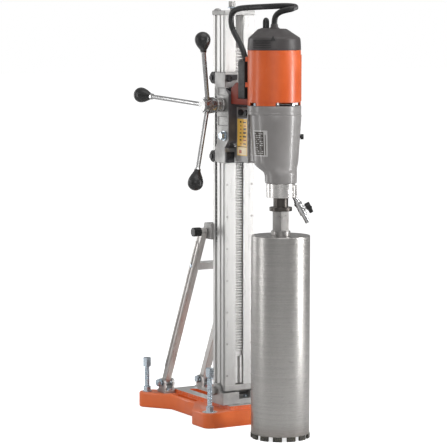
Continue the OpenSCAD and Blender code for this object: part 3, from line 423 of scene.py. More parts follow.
def place(piece, body, slot, *replaced):
    """Makes a piece ride on its body and stand for CAD nodes; its slot is not used."""
    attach(piece, body)
    if replaced:
        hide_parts(*replaced)
    return piece


SAME_POINT = 0.004 * MM                       # points nearer than this are one
FLAT = radians(0.6)                           # faces that meet at less than this are one


def node_copy(node):
    """A CAD node's mesh, with its triangles joined at their corners."""
    bm = bmesh.new()
    bm.from_mesh(NODES[node].data)
    bmesh.ops.remove_doubles(bm, verts=bm.verts, dist=SAME_POINT)
    return bm


def merged_copy(node):
    """A CAD node's mesh with its flat faces made whole."""
    bm = node_copy(node)
    bmesh.ops.dissolve_limit(bm, angle_limit=FLAT, verts=bm.verts, edges=bm.edges,
                             use_dissolve_boundaries=False)
    return bm


def soften(bm, width, segments=2, least=35.0, pick=None):
    """Rounds the edges sharper than an angle, or only those whose middle is picked."""
    least = radians(least)
    sharp = [e for e in bm.edges if len(e.link_faces) == 2 and e.calc_face_angle(0) > least
             and (pick is None or pick((e.verts[0].co + e.verts[1].co) / 2))]
    bmesh.ops.bevel(bm, geom=sharp, offset=width, segments=segments, profile=0.6, affect="EDGES",
                    clamp_overlap=False)


def weighted(piece):
    """Keeps large flat faces flat to the light."""
    modifier = piece.modifiers.new("weighted", "WEIGHTED_NORMAL")
    modifier.keep_sharp = True
    return piece


def refine(node, body, slot, finish, width, segments=2, least=35.0, pick=None, second=None):
    """A CAD node with its edges rounded, which stands for it.

    Where second(centre) is true, the second finish shows.
    """
    bm = merged_copy(node)
    soften(bm, width, segments, least, pick)
    for face in bm.faces if second else ():
        face.material_index = int(second(face.calc_center_median()))
    piece = from_bmesh(node + "_finished", bm, finish, outward=False)
    return weighted(place(piece, body, slot, node))


def ring_points(centre, radius, count, turn=0.0):
    return [centre + Vector((radius * cos(turn + k * tau / count),
                             radius * sin(turn + k * tau / count), 0)) for k in range(count)]


def bridge_rings(bm, rings, closed=True):
    """Skins rings of equal count with quads, and closes the ends."""
    rows = [[bm.verts.new(p) for p in ring] for ring in rings]
    for low, high in zip(rows, rows[1:]):
        for k in range(len(low)):
            n = (k + 1) % len(low)
            bm.faces.new((low[k], low[n], high[n], high[k]))
    if closed:
        bm.faces.new(list(reversed(rows[0])))
        bm.faces.new(rows[-1])
    return rows


def loft(name, rings, finish, count=48, levels=1):
    """A body through horizontal circles, each (centre y, height, radius), smoothed."""
    bm = bmesh.new()
    bridge_rings(bm, [ring_points(Vector((0, y, z)), r, count) for y, z, r in rings])
    piece = from_bmesh(name, bm, finish, smooth_angle=50)
    return subdivided(piece, levels)


def subdivided(piece, levels):
    modifier = piece.modifiers.new("smooth", "SUBSURF")
    modifier.levels = modifier.render_levels = levels
    return piece


def lathe(name, outline, place_at, finish, count=40, smooth_angle=40):
    """Turns an outline of (radius, height) about Z, then puts it at the matrix place_at."""
    bm = bmesh.new()
    rows = [ring_points(Vector((0, 0, h)), r, count) for r, h in outline]
    bridge_rings(bm, rows)
    bmesh.ops.transform(bm, matrix=place_at, verts=bm.verts)
    return from_bmesh(name, bm, finish, smooth_angle)


def slab(bm, surface, across, up, inside, outside, steps=(1, 1), material=0):
    """A closed slab on a surface(u, v, out), from inside to outside it.

    across is its range of u, and up its range of v or a function of u that gives it.
    """
    (u0, u1), (nu, nv) = across, steps
    grid = {}
    for i in range(nu + 1):
        u = u0 + (u1 - u0) * i / nu
        low, high = up(u) if callable(up) else up
        for j in range(nv + 1):
            v = low + (high - low) * j / nv
            for side, out in ((0, inside), (1, outside)):
                grid[i, j, side] = bm.verts.new(surface(u, v, out))
    made = []
    for i in range(nu):
        for j in range(nv):
            for side in (0, 1):
                corners = [grid[i + a, j + b, side] for a, b in ((0, 0), (1, 0), (1, 1), (0, 1))]
                made.append(bm.faces.new(corners if side else corners[::-1]))
    for i in range(nu):
        for j in (0, nv):
            made.append(bm.faces.new((grid[i, j, 0], grid[i + 1, j, 0], grid[i + 1, j, 1],
                                      grid[i, j, 1])))
    for j in range(nv):
        for i in (0, nu):
            made.append(bm.faces.new((grid[i, j, 0], grid[i, j + 1, 0], grid[i, j + 1, 1],
                                      grid[i, j, 1])))
    for face in made:
        face.material_index = material
    return made


def round_motor(angle, height, out, radius=MOTOR_R):
    """A point on the motor's cylinder, the angle from straight ahead towards the crank."""
    turn = radians(angle)
    reach = radius + out
    return Vector((-reach * sin(turn), MOTOR.y - reach * cos(turn), height))


# ---------- geometry node trees ----------


class Growth(Nodes):
    """A geometry node tree with named inputs, which ends in Realize Instances and Set Material."""

    def __init__(self, name, inputs):
        super().__init__(bpy.data.node_groups.new(name, "GeometryNodeTree"))
        kinds = {int: "NodeSocketInt", float: "NodeSocketFloat"}
        add = self.tree.interface.new_socket
        for label, value in inputs:
            add(name=label, in_out="INPUT", socket_type=kinds[type(value)]).default_value = value
        add(name="Material", in_out="INPUT", socket_type="NodeSocketMaterial")
        add(name="Geometry", in_out="OUTPUT", socket_type="NodeSocketGeometry")
        self.given = self.tree.nodes.new("NodeGroupInput").outputs

    def __getitem__(self, label):
        return self.given[label]

    def part(self, kind, values=None, **settings):
        """Places a geometry node and gives its first output."""
        return self.node("GeometryNode" + kind, values, **settings).outputs[0]

    def xyz(self, x=0.0, y=0.0, z=0.0):
        return self.node("ShaderNodeCombineXYZ", {0: x, 1: y, 2: z}).outputs[0]

    def finish(self, geometry):
        real = self.part("RealizeInstances", {0: geometry})
        coloured = self.part("SetMaterial", {"Geometry": real, "Material": self["Material"]})
        self.feed(coloured, self.tree.nodes.new("NodeGroupOutput").inputs[0])
        return self.tree


def ticks_tree():
    """Marks of a scale, each fifth one longer, growing along -Y from one edge."""
    g = Growth("scale_ticks", [("Count", 30), ("Pitch", 0.01), ("Short", 0.004), ("Long", 0.008),
                               ("Mark", 0.001), ("Thickness", 0.0002)])
    line = g.part("MeshLine", {"Count": g["Count"], "Offset": g.xyz(z=g["Pitch"])})
    fifth = g.maths("LESS_THAN", g.maths("MODULO", g.part("InputIndex"), 5.0), 0.5)
    more = g.maths("SUBTRACT", g["Long"], g["Short"])
    width = g.maths("ADD", g["Short"], g.times(fifth, more))
    mark = g.part("MeshCube", {"Size": g.xyz(g["Thickness"], 1.0, g["Mark"])})
    moved = g.part("Transform", {"Geometry": mark, "Translation": (0, -0.5, 0)})
    marks = g.part("InstanceOnPoints", {"Points": line, "Instance": moved,
                                        "Scale": g.xyz(1.0, width, 1.0)})
    return g.finish(marks)


def screw_item(g):
    """One socket-head screw that stands on Z = 0, with its hexagon sunk from the top."""
    head = g.part("MeshCylinder", {"Vertices": 24, "Radius": g["Head radius"],
                                   "Depth": g["Head height"]})
    socket = g.part("MeshCylinder", {"Vertices": 6, "Depth": g["Head height"],
                                     "Radius": g.times(g["Head radius"], 0.5)})
    half = g.times(g["Head height"], 0.5)
    raised = g.part("Transform", {"Geometry": head, "Translation": g.xyz(z=half)})
    sunk = g.part("Transform", {"Geometry": socket, "Translation": g.xyz(z=g["Head height"])})
    return g.part("MeshBoolean", {"Mesh 1": raised, "Mesh 2": sunk}, operation="DIFFERENCE")


def screw_rows_tree():
    """Two rows of screws up the column, their heads facing -Y."""
    g = Growth("screw_rows", [("Count", 10), ("Pitch", 0.073), ("Spread", 0.065),
                              ("Head radius", 0.003), ("Head height", 0.001)])
    tall = g.times(g["Pitch"], g.maths("SUBTRACT", g["Count"], 1.0))
    grid = g.part("MeshGrid", {"Size X": g["Spread"], "Vertices X": 2,
                               "Size Y": tall, "Vertices Y": g["Count"]})
    screws = g.part("InstanceOnPoints", {"Points": grid, "Instance": screw_item(g)})
    return g.finish(screws)


def around_tree(item, name, extra):
    """Copies of an item round the Z axis, each turned to face outwards."""
    g = Growth(name, [("Count", 12), ("Radius", 0.02), ("Start", 0.0), ("Sweep", tau)] + extra)
    line = g.part("MeshLine", {"Count": g["Count"]})
    step = g.maths("DIVIDE", g["Sweep"], g["Count"])
    turn = g.maths("ADD", g["Start"], g.times(step, g.part("InputIndex")))
    spot = g.xyz(g.times(g.maths("COSINE", turn), g["Radius"]),
                 g.times(g.maths("SINE", turn), g["Radius"]))
    points = g.part("SetPosition", {"Geometry": line, "Position": spot})
    copies = g.part("InstanceOnPoints", {"Points": points, "Instance": item(g),
                                         "Rotation": g.xyz(z=turn)})
    return g.finish(copies)


def bar_item(g):
    """A short six-sided rib that lies along Z."""
    return g.part("MeshCylinder", {"Vertices": 6, "Radius": g["Thick"], "Depth": g["Length"]})


def facing_screw(g):
    """A screw turned so that its head faces away from the Z axis."""
    return g.part("Transform", {"Geometry": screw_item(g), "Rotation": (0, pi / 2, 0)})


def thread_tree():
    """A screw thread round a core, from Z = 0 up."""
    g = Growth("thread", [("Radius", 0.006), ("Pitch", 0.00175), ("Length", 0.05),
                          ("Depth", 0.0006)])
    inner = g.maths("SUBTRACT", g["Radius"], g["Depth"])
    turns = g.maths("DIVIDE", g["Length"], g["Pitch"])
    spiral = g.part("CurveSpiral", {"Resolution": 20, "Rotations": turns, "Start Radius": inner,
                                    "End Radius": inner, "Height": g["Length"]})
    crest = g.part("CurvePrimitiveCircle", {"Resolution": 6, "Radius": g["Depth"]})
    ridge = g.part("CurveToMesh", {"Curve": spiral, "Profile Curve": crest, "Fill Caps": True})
    core = g.part("MeshCylinder", {"Vertices": 28, "Radius": inner, "Depth": g["Length"]})
    half = g.times(g["Length"], 0.5)
    raised = g.part("Transform", {"Geometry": core, "Translation": g.xyz(z=half)})
    both = g.node("GeometryNodeJoinGeometry")
    for part in (ridge, raised):
        g.feed(part, both.inputs[0])
    return g.finish(both.outputs[0])


def louvre_tree():
    """A stack of curved slats round the Z axis."""
    g = Growth("louvres", [("Count", 5), ("Pitch", 0.006), ("Radius", 0.06), ("Sweep", 0.7),
                           ("Start", 0.0), ("Thick", 0.001)])
    arc = g.part("CurveArc", {"Resolution": 20, "Radius": g["Radius"],
                              "Start Angle": g["Start"], "Sweep Angle": g["Sweep"]})
    profile = g.part("CurvePrimitiveCircle", {"Resolution": 8, "Radius": g["Thick"]})
    slat = g.part("CurveToMesh", {"Curve": arc, "Profile Curve": profile, "Fill Caps": True})
    line = g.part("MeshLine", {"Count": g["Count"], "Offset": g.xyz(z=g["Pitch"])})
    slats = g.part("InstanceOnPoints", {"Points": line, "Instance": slat})
    return g.finish(slats)


def grow(name, tree, finish, where, **values):
    """Runs a tree with its named inputs, and puts the plain mesh at the matrix where."""
    blank = bpy.data.meshes.new(name + "_carrier")
    carrier = show(bpy.data.objects.new(name + "_carrier", blank))
    modifier = carrier.modifiers.new("growth", "NODES")
    modifier.node_group = tree
    values["Material"] = FINISH[finish]
    for socket in tree.interface.items_tree:
        key = socket.name.replace(" ", "_")
        if socket.in_out == "INPUT" and key in values:
            modifier[socket.identifier] = values[key]
    bpy.context.view_layer.update()
    depsgraph = bpy.context.evaluated_depsgraph_get()
    mesh = bpy.data.meshes.new_from_object(carrier.evaluated_get(depsgraph), depsgraph=depsgraph)
    bpy.data.objects.remove(carrier)
    mesh.transform(where)
    return to_object(name, mesh, finish)


TICKS, SCREW_ROWS, THREAD, LOUVRES = ticks_tree(), screw_rows_tree(), thread_tree(), louvre_tree()
HEAD_SIZES = [("Head radius", 0.003), ("Head height", 0.002)]
RIBS = around_tree(bar_item, "ribs_around", [("Thick", 0.001), ("Length", 0.01)])
SCREWS_AROUND = around_tree(facing_screw, "screws_around", HEAD_SIZES)


def along(start, direction, up=Vector((0, 0, 1))):
    """A matrix that puts local Z along a direction, from a start point."""
    z = direction.normalized()
    x = up.cross(z) if up.cross(z).length > 1e-4 else Vector((1, 0, 0))
    x.normalize()
    y = z.cross(x)
    turn = Matrix((x, y, z)).transposed().to_4x4()
    return Matrix.Translation(start) @ turn


# ---------- CAD nodes ----------
# CAD nodes that get rounded edges and a finish: their body, slot, finish, how far the edges are cut
# back in mm, and where they differ, the steps of the rounding and the least angle that is rounded
ROUNDED = {
    "column_bracket": ("base", "cast_alloy", "casting", 1.2),
    "strut_lugs": ("base", "cast_alloy", "casting", 0.7),
    "lock_nuts": ("base", "zinc_plate", "zinc", 0.5),
    "pivot_bolt": ("base", "plain_steel", "steel", 0.6),
    "jack_washer": ("jack_washer", "zinc_plate", "zinc", 0.4),
    "column_profile": ("column", "drawn_alloy", "drawn", 0.45, 2, 60),
    "guide_strips": ("column", "ground_steel", "ground", 0.35, 2, 60),
    "column_foot_block": ("column", "cast_alloy", "casting", 1.2),
    "column_cap": ("column", "cast_alloy", "casting", 1.4, 3),
    "rack": ("column", "plain_steel", "rack steel", 0.12, 1, 30),
    "strut_leg_left": ("struts", "drawn_alloy", "leg", 1.6, 3),
    "strut_leg_right": ("struts", "drawn_alloy", "leg", 1.6, 3),
    "strut_cross_brace": ("struts", "drawn_alloy", "drawn", 0.6),
    "strut_bolts": ("struts", "zinc_plate", "zinc", 0.4),
    "strut_clamp_block": ("strut_clamp", "cast_alloy", "casting", 1.6),
    "clamp_knob": ("clamp_knob", "black_plastic", "knob", 0.7),
    "roller_mounts": ("carriage", "black_oxide", "oxide", 0.6),
    "guide_rollers_upper": ("rollers_upper", "black_plastic", "black", 0.7),
    "guide_rollers_lower": ("rollers_lower", "black_plastic", "black", 0.7),
    "carriage_lock": ("carriage_lock", "zinc_plate", "zinc", 0.6),
    "adapter_plate": ("carriage", "grey_casting", "grey paint", 1.6),
    "adapter_bolts": ("carriage", "black_oxide", "oxide", 0.7),
    "crank_hub": ("crank", "bright_chrome", "arm", 0.8),
    "crank_arms": ("crank", "bright_chrome", "arm", 0.5),
    "switch_housing": ("carriage", "black_plastic", "black", 1.3, 2, 60),
    "power_lead": ("carriage", "lead_rubber", "rubber", 0.4),
    "gear_selector": ("gear_selector", "black_plastic", "black", 0.8),
    "water_collar": ("carriage", "bright_chrome", "nickel", 1.2, 3),
    "water_valve": ("carriage", "bright_chrome", "chrome", 0.7),
    "valve_lever": ("valve_lever", "black_plastic", "knob", 2.0, 3),
    "spindle": ("spindle", "dark_steel", "phosphate", 0.7, 2, 60),
    "bit_adapter": ("spindle", "plain_steel", "steel", 1.0),
    "core_bit_tube": ("spindle", "tube_steel", "tube", 1.4, 3),
    "diamond_segments": ("spindle", "diamond_matrix", "grit", 0.5, 1),
}

# CAD nodes that keep their shape, because they are plain or show only through a slot
AS_THEY_ARE = {
    "level_pad_1": "steel", "level_pad_2": "steel", "level_pad_3": "steel", "level_pad_4": "steel",
    "feed_pinion_shaft": "steel", "countershaft": "steel", "depth_scale": "strip",
    "switch_button": "red", "stator": "winding", "armature": "winding", "bearings": "ground",
    "base_screws": "zinc",
}


def cad_nodes():
    """Finishes the nodes that need no more than rounded edges or a material."""
    for node, (body, slot, finish, width, *rest) in ROUNDED.items():
        refine(node, body, slot, finish, width * MM, *rest)
    for node, finish in AS_THEY_ARE.items():
        NODES[node].data.materials[0] = FINISH[finish]


# ---------- base ----------
PAD_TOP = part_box("base_plate")[1].z
SHOULDER = 36 * MM                            # the top of the feet
PAD_HALF = 40 * MM
PANEL_HALF, PANEL_RIM = 57 * MM, 8 * MM       # half the sunk panels' width, and their rims
FACING_R, SCREW_HOLE_R = 17.5 * MM, 6.6 * MM  # the machined rings round the screws


def base():
    """The casting, its outer edge rounded and its pad and screw seats machined."""
    bm = merged_copy("base_plate")
    feet = [middle(f"level_screw_{k}") for k in range(1, 5)]

    def outer_edge(p):
        """The casting's outline, away from the pad and from the sunk panels."""
        within = feet[0].y + PANEL_RIM < p.y < feet[2].y - PANEL_RIM
        panel = abs(p.x) < PANEL_HALF and within
        return not panel and abs(p.x) > PAD_HALF and p.z < SHOULDER + MM
    soften(bm, 4.0 * MM, 3, 50, outer_edge)
    for face in bm.faces:
        on_pad = face.calc_center_median().z > PAD_TOP - 0.05 * MM and face.normal.z > 0.99
        face.material_index = 1 if on_pad else 0
    piece = from_bmesh("base_casting", bm, ["orange cast", "milled"], outward=False)
    place(piece, "base", "orange_paint", "base_plate")
    for number, foot in enumerate(feet[:2], 1):
        outline = [(SCREW_HOLE_R, 0), (FACING_R, 0), (FACING_R, 0.3 * MM),
                   (SCREW_HOLE_R, 0.35 * MM)]
        spot = Matrix.Translation((foot.x, foot.y, SHOULDER - 0.1 * MM))
        place(lathe(f"foot_facing_{number}", outline, spot, "milled"), "base", "orange_paint")


def hex_head(bm, centre, radius, low, high, chamfer):
    """A hexagon head along Z with its rims chamfered."""
    rings = [ring_points(Vector((centre.x, centre.y, z)), r, 6) for z, r in (
        (low, radius - chamfer), (low + chamfer * 0.6, radius), (high - chamfer * 0.6, radius),
        (high, radius - chamfer))]
    bridge_rings(bm, rings)


def levelling(k):
    """A levelling screw: threaded shank, turned tip and hexagon head."""
    node = f"level_screw_{k}"
    low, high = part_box(node)
    at = middle(node)
    head_r, head_h = size(node).x / 2, 21 * MM
    shank_low, tip_r = low.z + 3 * MM, 4 * MM
    bm = bmesh.new()
    hex_head(bm, at, head_r, high.z - head_h, high.z, 1.3 * MM)
    tip = [Vector((at.x, at.y, z)) for z in (low.z, shank_low + MM)]
    bridge_rings(bm, [ring_points(centre, tip_r, 24) for centre in tip])
    head = from_bmesh(node + "_head", bm, "zinc")
    place(head, node, "zinc_plate", node)
    length = high.z - head_h - shank_low + 0.5 * MM
    thread = grow(node + "_thread", THREAD, "zinc", Matrix.Translation((at.x, at.y, shank_low)),
                  Length=length, Radius=6 * MM, Pitch=2.2 * MM, Depth=0.85 * MM)
    place(thread, node, "zinc_plate")


def jack():
    """The ceiling jack's threaded shank and hexagon head."""
    low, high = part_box("jack_screw")
    at = middle("jack_screw")
    head_h = 13 * MM
    bm = bmesh.new()
    hex_head(bm, at, size("jack_screw").x / 2, high.z - head_h, high.z, 1.2 * MM)
    place(from_bmesh("jack_screw_head", bm, "steel"), "jack_screw", "plain_steel", "jack_screw")
    thread = grow("jack_screw_thread", THREAD, "steel", Matrix.Translation((at.x, at.y, low.z)),
                  Length=high.z - head_h - low.z + 0.3 * MM, Radius=5 * MM, Pitch=2 * MM,
                  Depth=0.7 * MM)
    place(thread, "jack_screw", "plain_steel")


# ---------- column ----------
SCREW_PITCH = 73 * MM


def column():
    """The guide strips' screws and the depth scale's ticks."""
    low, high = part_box("guide_screws")
    spread = (high.x - low.x) - 2 * 2.8 * MM
    rows = round((high.z - low.z) / SCREW_PITCH) + 1
    face = Matrix.Translation((0, low.y + 0.9 * MM, (low.z + high.z) / 2))
    face @= Matrix.Rotation(pi / 2, 4, "X")
    screws = grow("guide_strip_screws", SCREW_ROWS, "steel", face, Count=rows, Pitch=SCREW_PITCH,
                  Spread=spread, Head_radius=2.7 * MM, Head_height=1.2 * MM)
    place(screws, "column", "plain_steel", "guide_screws")
    low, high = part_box("depth_scale")
    start = Matrix.Translation((low.x - 0.04 * MM, high.y - 0.6 * MM, low.z + 4 * MM))
    ticks = grow("scale_ticks", TICKS, "white", start,
                 Count=int((high.z - low.z - 6 * MM) / (10 * MM)),
                 Pitch=10 * MM, Short=3.6 * MM, Long=7 * MM, Mark=1.1 * MM, Thickness=0.16 * MM)
    place(ticks, "column", "scale_strip")


def leg_ribs(side):
    """Two drawn ribs along the outer face of a strut leg, which leave a groove between them."""
    low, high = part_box(f"strut_leg_{side}")
    face = max(low.x, high.x, key=abs)
    inset = 9 * MM
    foot = Vector((0, high.y - inset, low.z + inset))
    top = Vector((0, low.y + inset, high.z - inset))
    bm = bmesh.new()
    along_leg = (top - foot).normalized()
    across = Vector((0, along_leg.z, -along_leg.y))

    def outer(u, v, out):
        spot = foot + (top - foot) * v + across * u
        return Vector((face + copysign(out, face), spot.y, spot.z))
    for centre in (-5.4 * MM, 5.4 * MM):
        slab(bm, outer, (centre - 2.3 * MM, centre + 2.3 * MM), (0.10, 0.93), -0.4 * MM, 1.7 * MM,
             (1, 1))
    soften(bm, 0.5 * MM, 2, 50)
    place(from_bmesh(f"strut_ribs_{side}", bm, "leg"), "struts", "drawn_alloy")


def struts():
    leg_ribs("left")
    leg_ribs("right")


# ---------- carriage ----------
def carriage():
    """The carriage's casting, with painted shade along its front."""
    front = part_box("carriage_frame")[0].y
    # the front 15 mm of the casting gets the dark alloy: painted shade
    refine("carriage_frame", "carriage", "cast_alloy", ["casting", "dark alloy"], 1.5 * MM,
           second=lambda p: p.y < front + 15 * MM)


# ---------- crank ----------
def crank():
    """The spring and the knurl on the crank's hub."""
    low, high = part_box("crank_hub")
    hub, out = middle("crank_hub"), Vector((1, 0, 0))
    collar = Vector((high.x + 1.5 * MM, hub.y, hub.z))
    spring = grow("crank_spring", THREAD, "steel", along(collar, out), Radius=16.2 * MM,
                  Pitch=4.4 * MM, Length=19 * MM, Depth=1.6 * MM)
    place(spring, "crank", "plain_steel")
    knurl = grow("hub_knurl", RIBS, "arm", along(Vector(((low.x + high.x) / 2, hub.y, hub.z)), out),
                 Count=44, Radius=17.9 * MM, Thick=0.8 * MM, Length=10 * MM)
    place(knurl, "crank", "bright_chrome")


# The arms: their turns from straight up towards the drilling side, and how far they lean outwards
ARM_TURNS = (36, 156, 276)
ARM_LEAN = radians(22)
ARM_REACH = 176 * MM
KNOB_R = 17.25 * MM
KNOB_HALF = 23.5 * MM


def knobs():
    """Drop-shaped knobs on the ends of the arms, each with a bright ferrule."""
    hub = middle("crank_hub")
    belly = 0.30 * KNOB_HALF                  # height of the widest place above the knob's middle
    outline = [(0.2 * MM, -KNOB_HALF), (6.4 * MM, -KNOB_HALF), (7.2 * MM, -KNOB_HALF + 0.9 * MM)]
    for k in range(1, 13):
        share = k / 12
        radius = 7.4 * MM + (KNOB_R - 7.4 * MM) * sin(share * pi / 2) ** 1.25
        outline.append((radius, -KNOB_HALF + MM + (belly + KNOB_HALF - MM) * share))
    for k in range(1, 10):
        turn = radians(9.6 * k)
        outline.append((KNOB_R * cos(turn), belly + (KNOB_HALF - belly) * sin(turn)))
    outline.append((0.2 * MM, KNOB_HALF))
    ferrule = [(5.3 * MM, -KNOB_HALF - 5 * MM), (7 * MM, -KNOB_HALF - 4.4 * MM),
               (7.4 * MM, -KNOB_HALF - 0.2 * MM)]
    for number, turn in enumerate(ARM_TURNS, 1):
        lean = Matrix.Rotation(radians(turn), 4, "X") @ Matrix.Rotation(-ARM_LEAN, 4, "Y")
        reach = Matrix.Translation((0, 0, ARM_REACH / cos(ARM_LEAN)))
        where = Matrix.Translation(hub) @ lean @ reach
        knob = lathe(f"crank_knob_{number}", outline, where, "knob", 48)
        place(knob, "crank", "black_plastic", "crank_knobs")
        place(lathe(f"crank_ferrule_{number}", ferrule, where, "chrome", 32), "crank",
              "bright_chrome")


# ---------- motor ----------
# The raised shield on the housing: how far it stands out, its far edge and the top and foot of its
# swept edge, as angles round the motor
SHIELD_RISE = 1.6 * MM
SHIELD_FAR, SHIELD_TOP, SHIELD_FOOT = -118, 46, 88


def motor_panel():
    """The raised shield on the front of the housing, its rear edge swept back towards the foot."""
    low, high = HOUSING_LOW + 9.5 * MM, HOUSING_HIGH - 6 * MM
    bm = bmesh.new()

    def swept(u, v, out):
        fall = ((high - v) / (high - low)) ** 2.6
        near = SHIELD_TOP + (SHIELD_FOOT - SHIELD_TOP) * fall
        return round_motor(SHIELD_FAR + (near - SHIELD_FAR) * u, v, out)

    slab(bm, swept, (0, 1), lambda u: (low, high - (0 if u > 0.84 else 4 * MM)), -0.6 * MM,
         SHIELD_RISE, (60, 16))
    soften(bm, 0.9 * MM, 3, 50)
    place(from_bmesh("motor_panel", bm, "orange smooth"), "carriage", "orange_paint")


def motor():
    """The housing, with painted shade at its rear, with the switch's bosses and four screws."""
    def rim(p):
        return abs(p.z - HOUSING_LOW) > 9 * MM or Vector((p.x, p.y - MOTOR.y)).length > MOTOR_R + MM
    # faces more than 55 mm behind the motor's axis get the darker orange: painted shade
    refine("motor_housing", "carriage", "orange_paint", ["orange smooth", "orange shade"], 1.2 * MM,
           3, 50, rim, lambda p: p.y > MOTOR.y + 55 * MM)
    motor_panel()
    bosses = bmesh.new()
    for height in (45, 101):
        z = HOUSING_LOW + height * MM
        slab(bosses, round_motor, (116, 132), (z - 5 * MM, z + 5 * MM), -1 * MM, 5 * MM, (4, 1))
    soften(bosses, 1.2 * MM, 2, 50)
    place(from_bmesh("switch_bosses", bosses, "orange smooth"), "carriage", "orange_paint")
    ring = Matrix.Translation((0, MOTOR.y, HOUSING_LOW + 3.2 * MM))
    screws = grow("housing_screws", SCREWS_AROUND, "zinc", ring, Count=4, Radius=MOTOR_R - 1.5 * MM,
                  Start=radians(-90 + 13.6), Head_radius=3.4 * MM, Head_height=3 * MM)
    place(screws, "carriage", "orange_paint")


def cap():
    """The dark cap: a band, a rounded shoulder and a crown that leans back."""
    low = HOUSING_HIGH
    # The band's rings in mm: behind the motor's axis, above the housing and past its side
    band = ((0, 0, -3), (0, 0, 0.4), (0, 1, 0.6), (0, 12, 0.2), (0, 24, -0.6), (0, 27.4, -2),
            (1, 29.6, -5))
    rings = [(MOTOR.y + y * MM, low + z * MM, MOTOR_R + more * MM) for y, z, more in band]
    rings.append((MOTOR.y + 4 * MM, low + 38 * MM, MOTOR_R * 0.72))
    crown_y = MOTOR.y + 8 * MM
    crown = ((2.2 * MM, MOTOR_R * 0.56), (0.8 * MM, MOTOR_R * 0.50), (0.8 * MM, 2 * MM))
    rings += [(crown_y, CAP_HIGH - drop, radius) for drop, radius in crown]
    piece = loft("motor_cap_shell", rings, "cap", 48, 2)
    place(piece, "carriage", "dark_cap", "motor_cap")
    deep = Matrix.Translation((0, MOTOR.y, low + 6 * MM))
    slats = grow("cap_louvres", LOUVRES, "black", deep, Count=4, Pitch=5 * MM,
                 Radius=MOTOR_R + 0.1 * MM,
                 Start=radians(-90 - 82), Sweep=radians(44), Thick=0.9 * MM)
    place(slats, "carriage", "dark_cap")
    wedge = bmesh.new()
    corners = (((-6, 0, 0), (6, 0, 0), (0, 0, 11)), ((-5, -2.4, 0.8), (5, -2.4, 0.8), (0, -1, 9)))
    turn = Matrix.Rotation(radians(-34), 4, "Z")
    spot = Matrix.Translation(round_motor(34, low + 21 * MM, -1.4 * MM)) @ turn
    bridge_rings(wedge, [[spot @ (Vector(p) * MM) for p in ring] for ring in corners])
    place(from_bmesh("cap_latch", wedge, "black"), "carriage", "dark_cap")
    seat = bmesh.new()
    feet = middle("power_lead")
    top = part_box("power_lead")[0].z
    collar = ((-9, 15), (-3, 13.4), (-0.4, 12.4), (0.4, 11.4))
    rings = [ring_points(Vector((feet.x, feet.y, top + z * MM)), r * MM, 32) for z, r in collar]
    bridge_rings(seat, rings)
    place(from_bmesh("lead_seat", seat, "cap"), "carriage", "dark_cap")


def handle():
    """The tube handle, its facets smoothed, with a collar where it enters the cap."""
    bm = node_copy("motor_handle")
    bmesh.ops.join_triangles(bm, faces=bm.faces, angle_face_threshold=radians(40),
                             angle_shape_threshold=radians(60))
    piece = subdivided(from_bmesh("handle_tube", bm, "knob", outward=False), 2)
    place(piece, "carriage", "black_plastic", "motor_handle")
    foot = Vector((0, MOTOR.y, CAP_HIGH - 2.5 * MM))
    collar = [(r * MM, z * MM) for r, z in (
        (6, 0), (12, 0), (11.6, 2.6), (8.6, 4.6), (7.6, 11), (6.4, 12))]
    place(lathe("handle_collar", collar, Matrix.Translation(foot), "cap"), "carriage", "dark_cap")


def switch():
    """Grip ribs on the side of the switch housing."""
    low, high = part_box("switch_housing")
    ribs = bmesh.new()
    for k in range(6):
        z = low.z + (16 + 9 * k) * MM

        def face(u, v, out):
            return Vector((low.x - out, u, v))
        slab(ribs, face, (low.y + 6 * MM, high.y - 6 * MM), (z, z + 3 * MM), -0.5 * MM, 0.8 * MM)
    soften(ribs, 0.35 * MM, 1, 50)
    place(from_bmesh("switch_ribs", ribs, "black"), "carriage", "black_plastic")


# ---------- gearbox ----------
BAND = 20 * MM
CONE_TOP = HOUSING_LOW - BAND
CONE_LOW = GEARBOX_LOW + 46 * MM
CONE_R = (MOTOR_R - 8.5 * MM, MOTOR_R - 1.7 * MM)


def cone_at(height):
    return CONE_R[0] + (CONE_R[1] - CONE_R[0]) * (height - CONE_LOW) / (CONE_TOP - CONE_LOW)


def round_gearbox(angle, height, out):
    turn = radians(angle)
    reach = cone_at(height) + out
    return Vector((-reach * sin(turn), BOX_Y - reach * cos(turn), height))


def gearbox():
    """The gearbox's shell, and the foot that joins it to the adapter."""
    # The neck and shoulder: share of the step from spindle to motor, height and radius in mm
    cone_r = CONE_R[0] / MM
    flow = ((0, 0, 34), (0, 0.6, 35), (0, 6, 35.3), (0, 18, 35.6), (0.06, 24, 36.4),
            (0.3, 28.5, 39.5), (0.5, 33, 43.4), (0.68, 39, 47.4), (0.74, 46, cone_r - 0.2),
            (0.75, 54, cone_r + 0.5))
    rings = [(BIT.y, GEARBOX_LOW, 18 * MM)]
    rings += [(BIT.y + SPINDLE_STEP * share, GEARBOX_LOW + rise * MM, radius * MM)
              for share, rise, radius in flow]
    rings += [(BOX_Y, CONE_TOP - drop * MM, CONE_R[1]) for drop in (1.4, 0.5)]
    # The band under the housing: height and how far it stands past the motor's side, in mm
    band = [(CONE_TOP + z * MM, more) for z, more in (
        (0, 0.6), (0.7, 1.5), (5, 1.5), (5.6, 0.9), (6.6, 0.9), (7.2, 1.5))]
    band += [(HOUSING_LOW - z * MM, more) for z, more in ((1, 1.5), (0.2, 0.8), (0.1, -8))]
    rings += [(MOTOR.y, z, MOTOR_R + more * MM) for z, more in band]
    place(loft("gearbox_shell", rings, "grey paint", 64, 1), "carriage", "grey_casting",
          "gearbox_housing")
    low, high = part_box("adapter_plate")
    inset = 4 * MM
    block = bmesh.new()

    def box_face(u, v, out):
        return Vector((u, out, v))
    slab(block, box_face, (low.x + inset, high.x - inset), (low.z + inset, high.z - inset),
         BOX_Y + 24 * MM, low.y + 0.2 * MM)
    soften(block, 3 * MM, 3, 50)
    place(from_bmesh("gearbox_foot", block, "grey paint"), "carriage", "grey_casting")


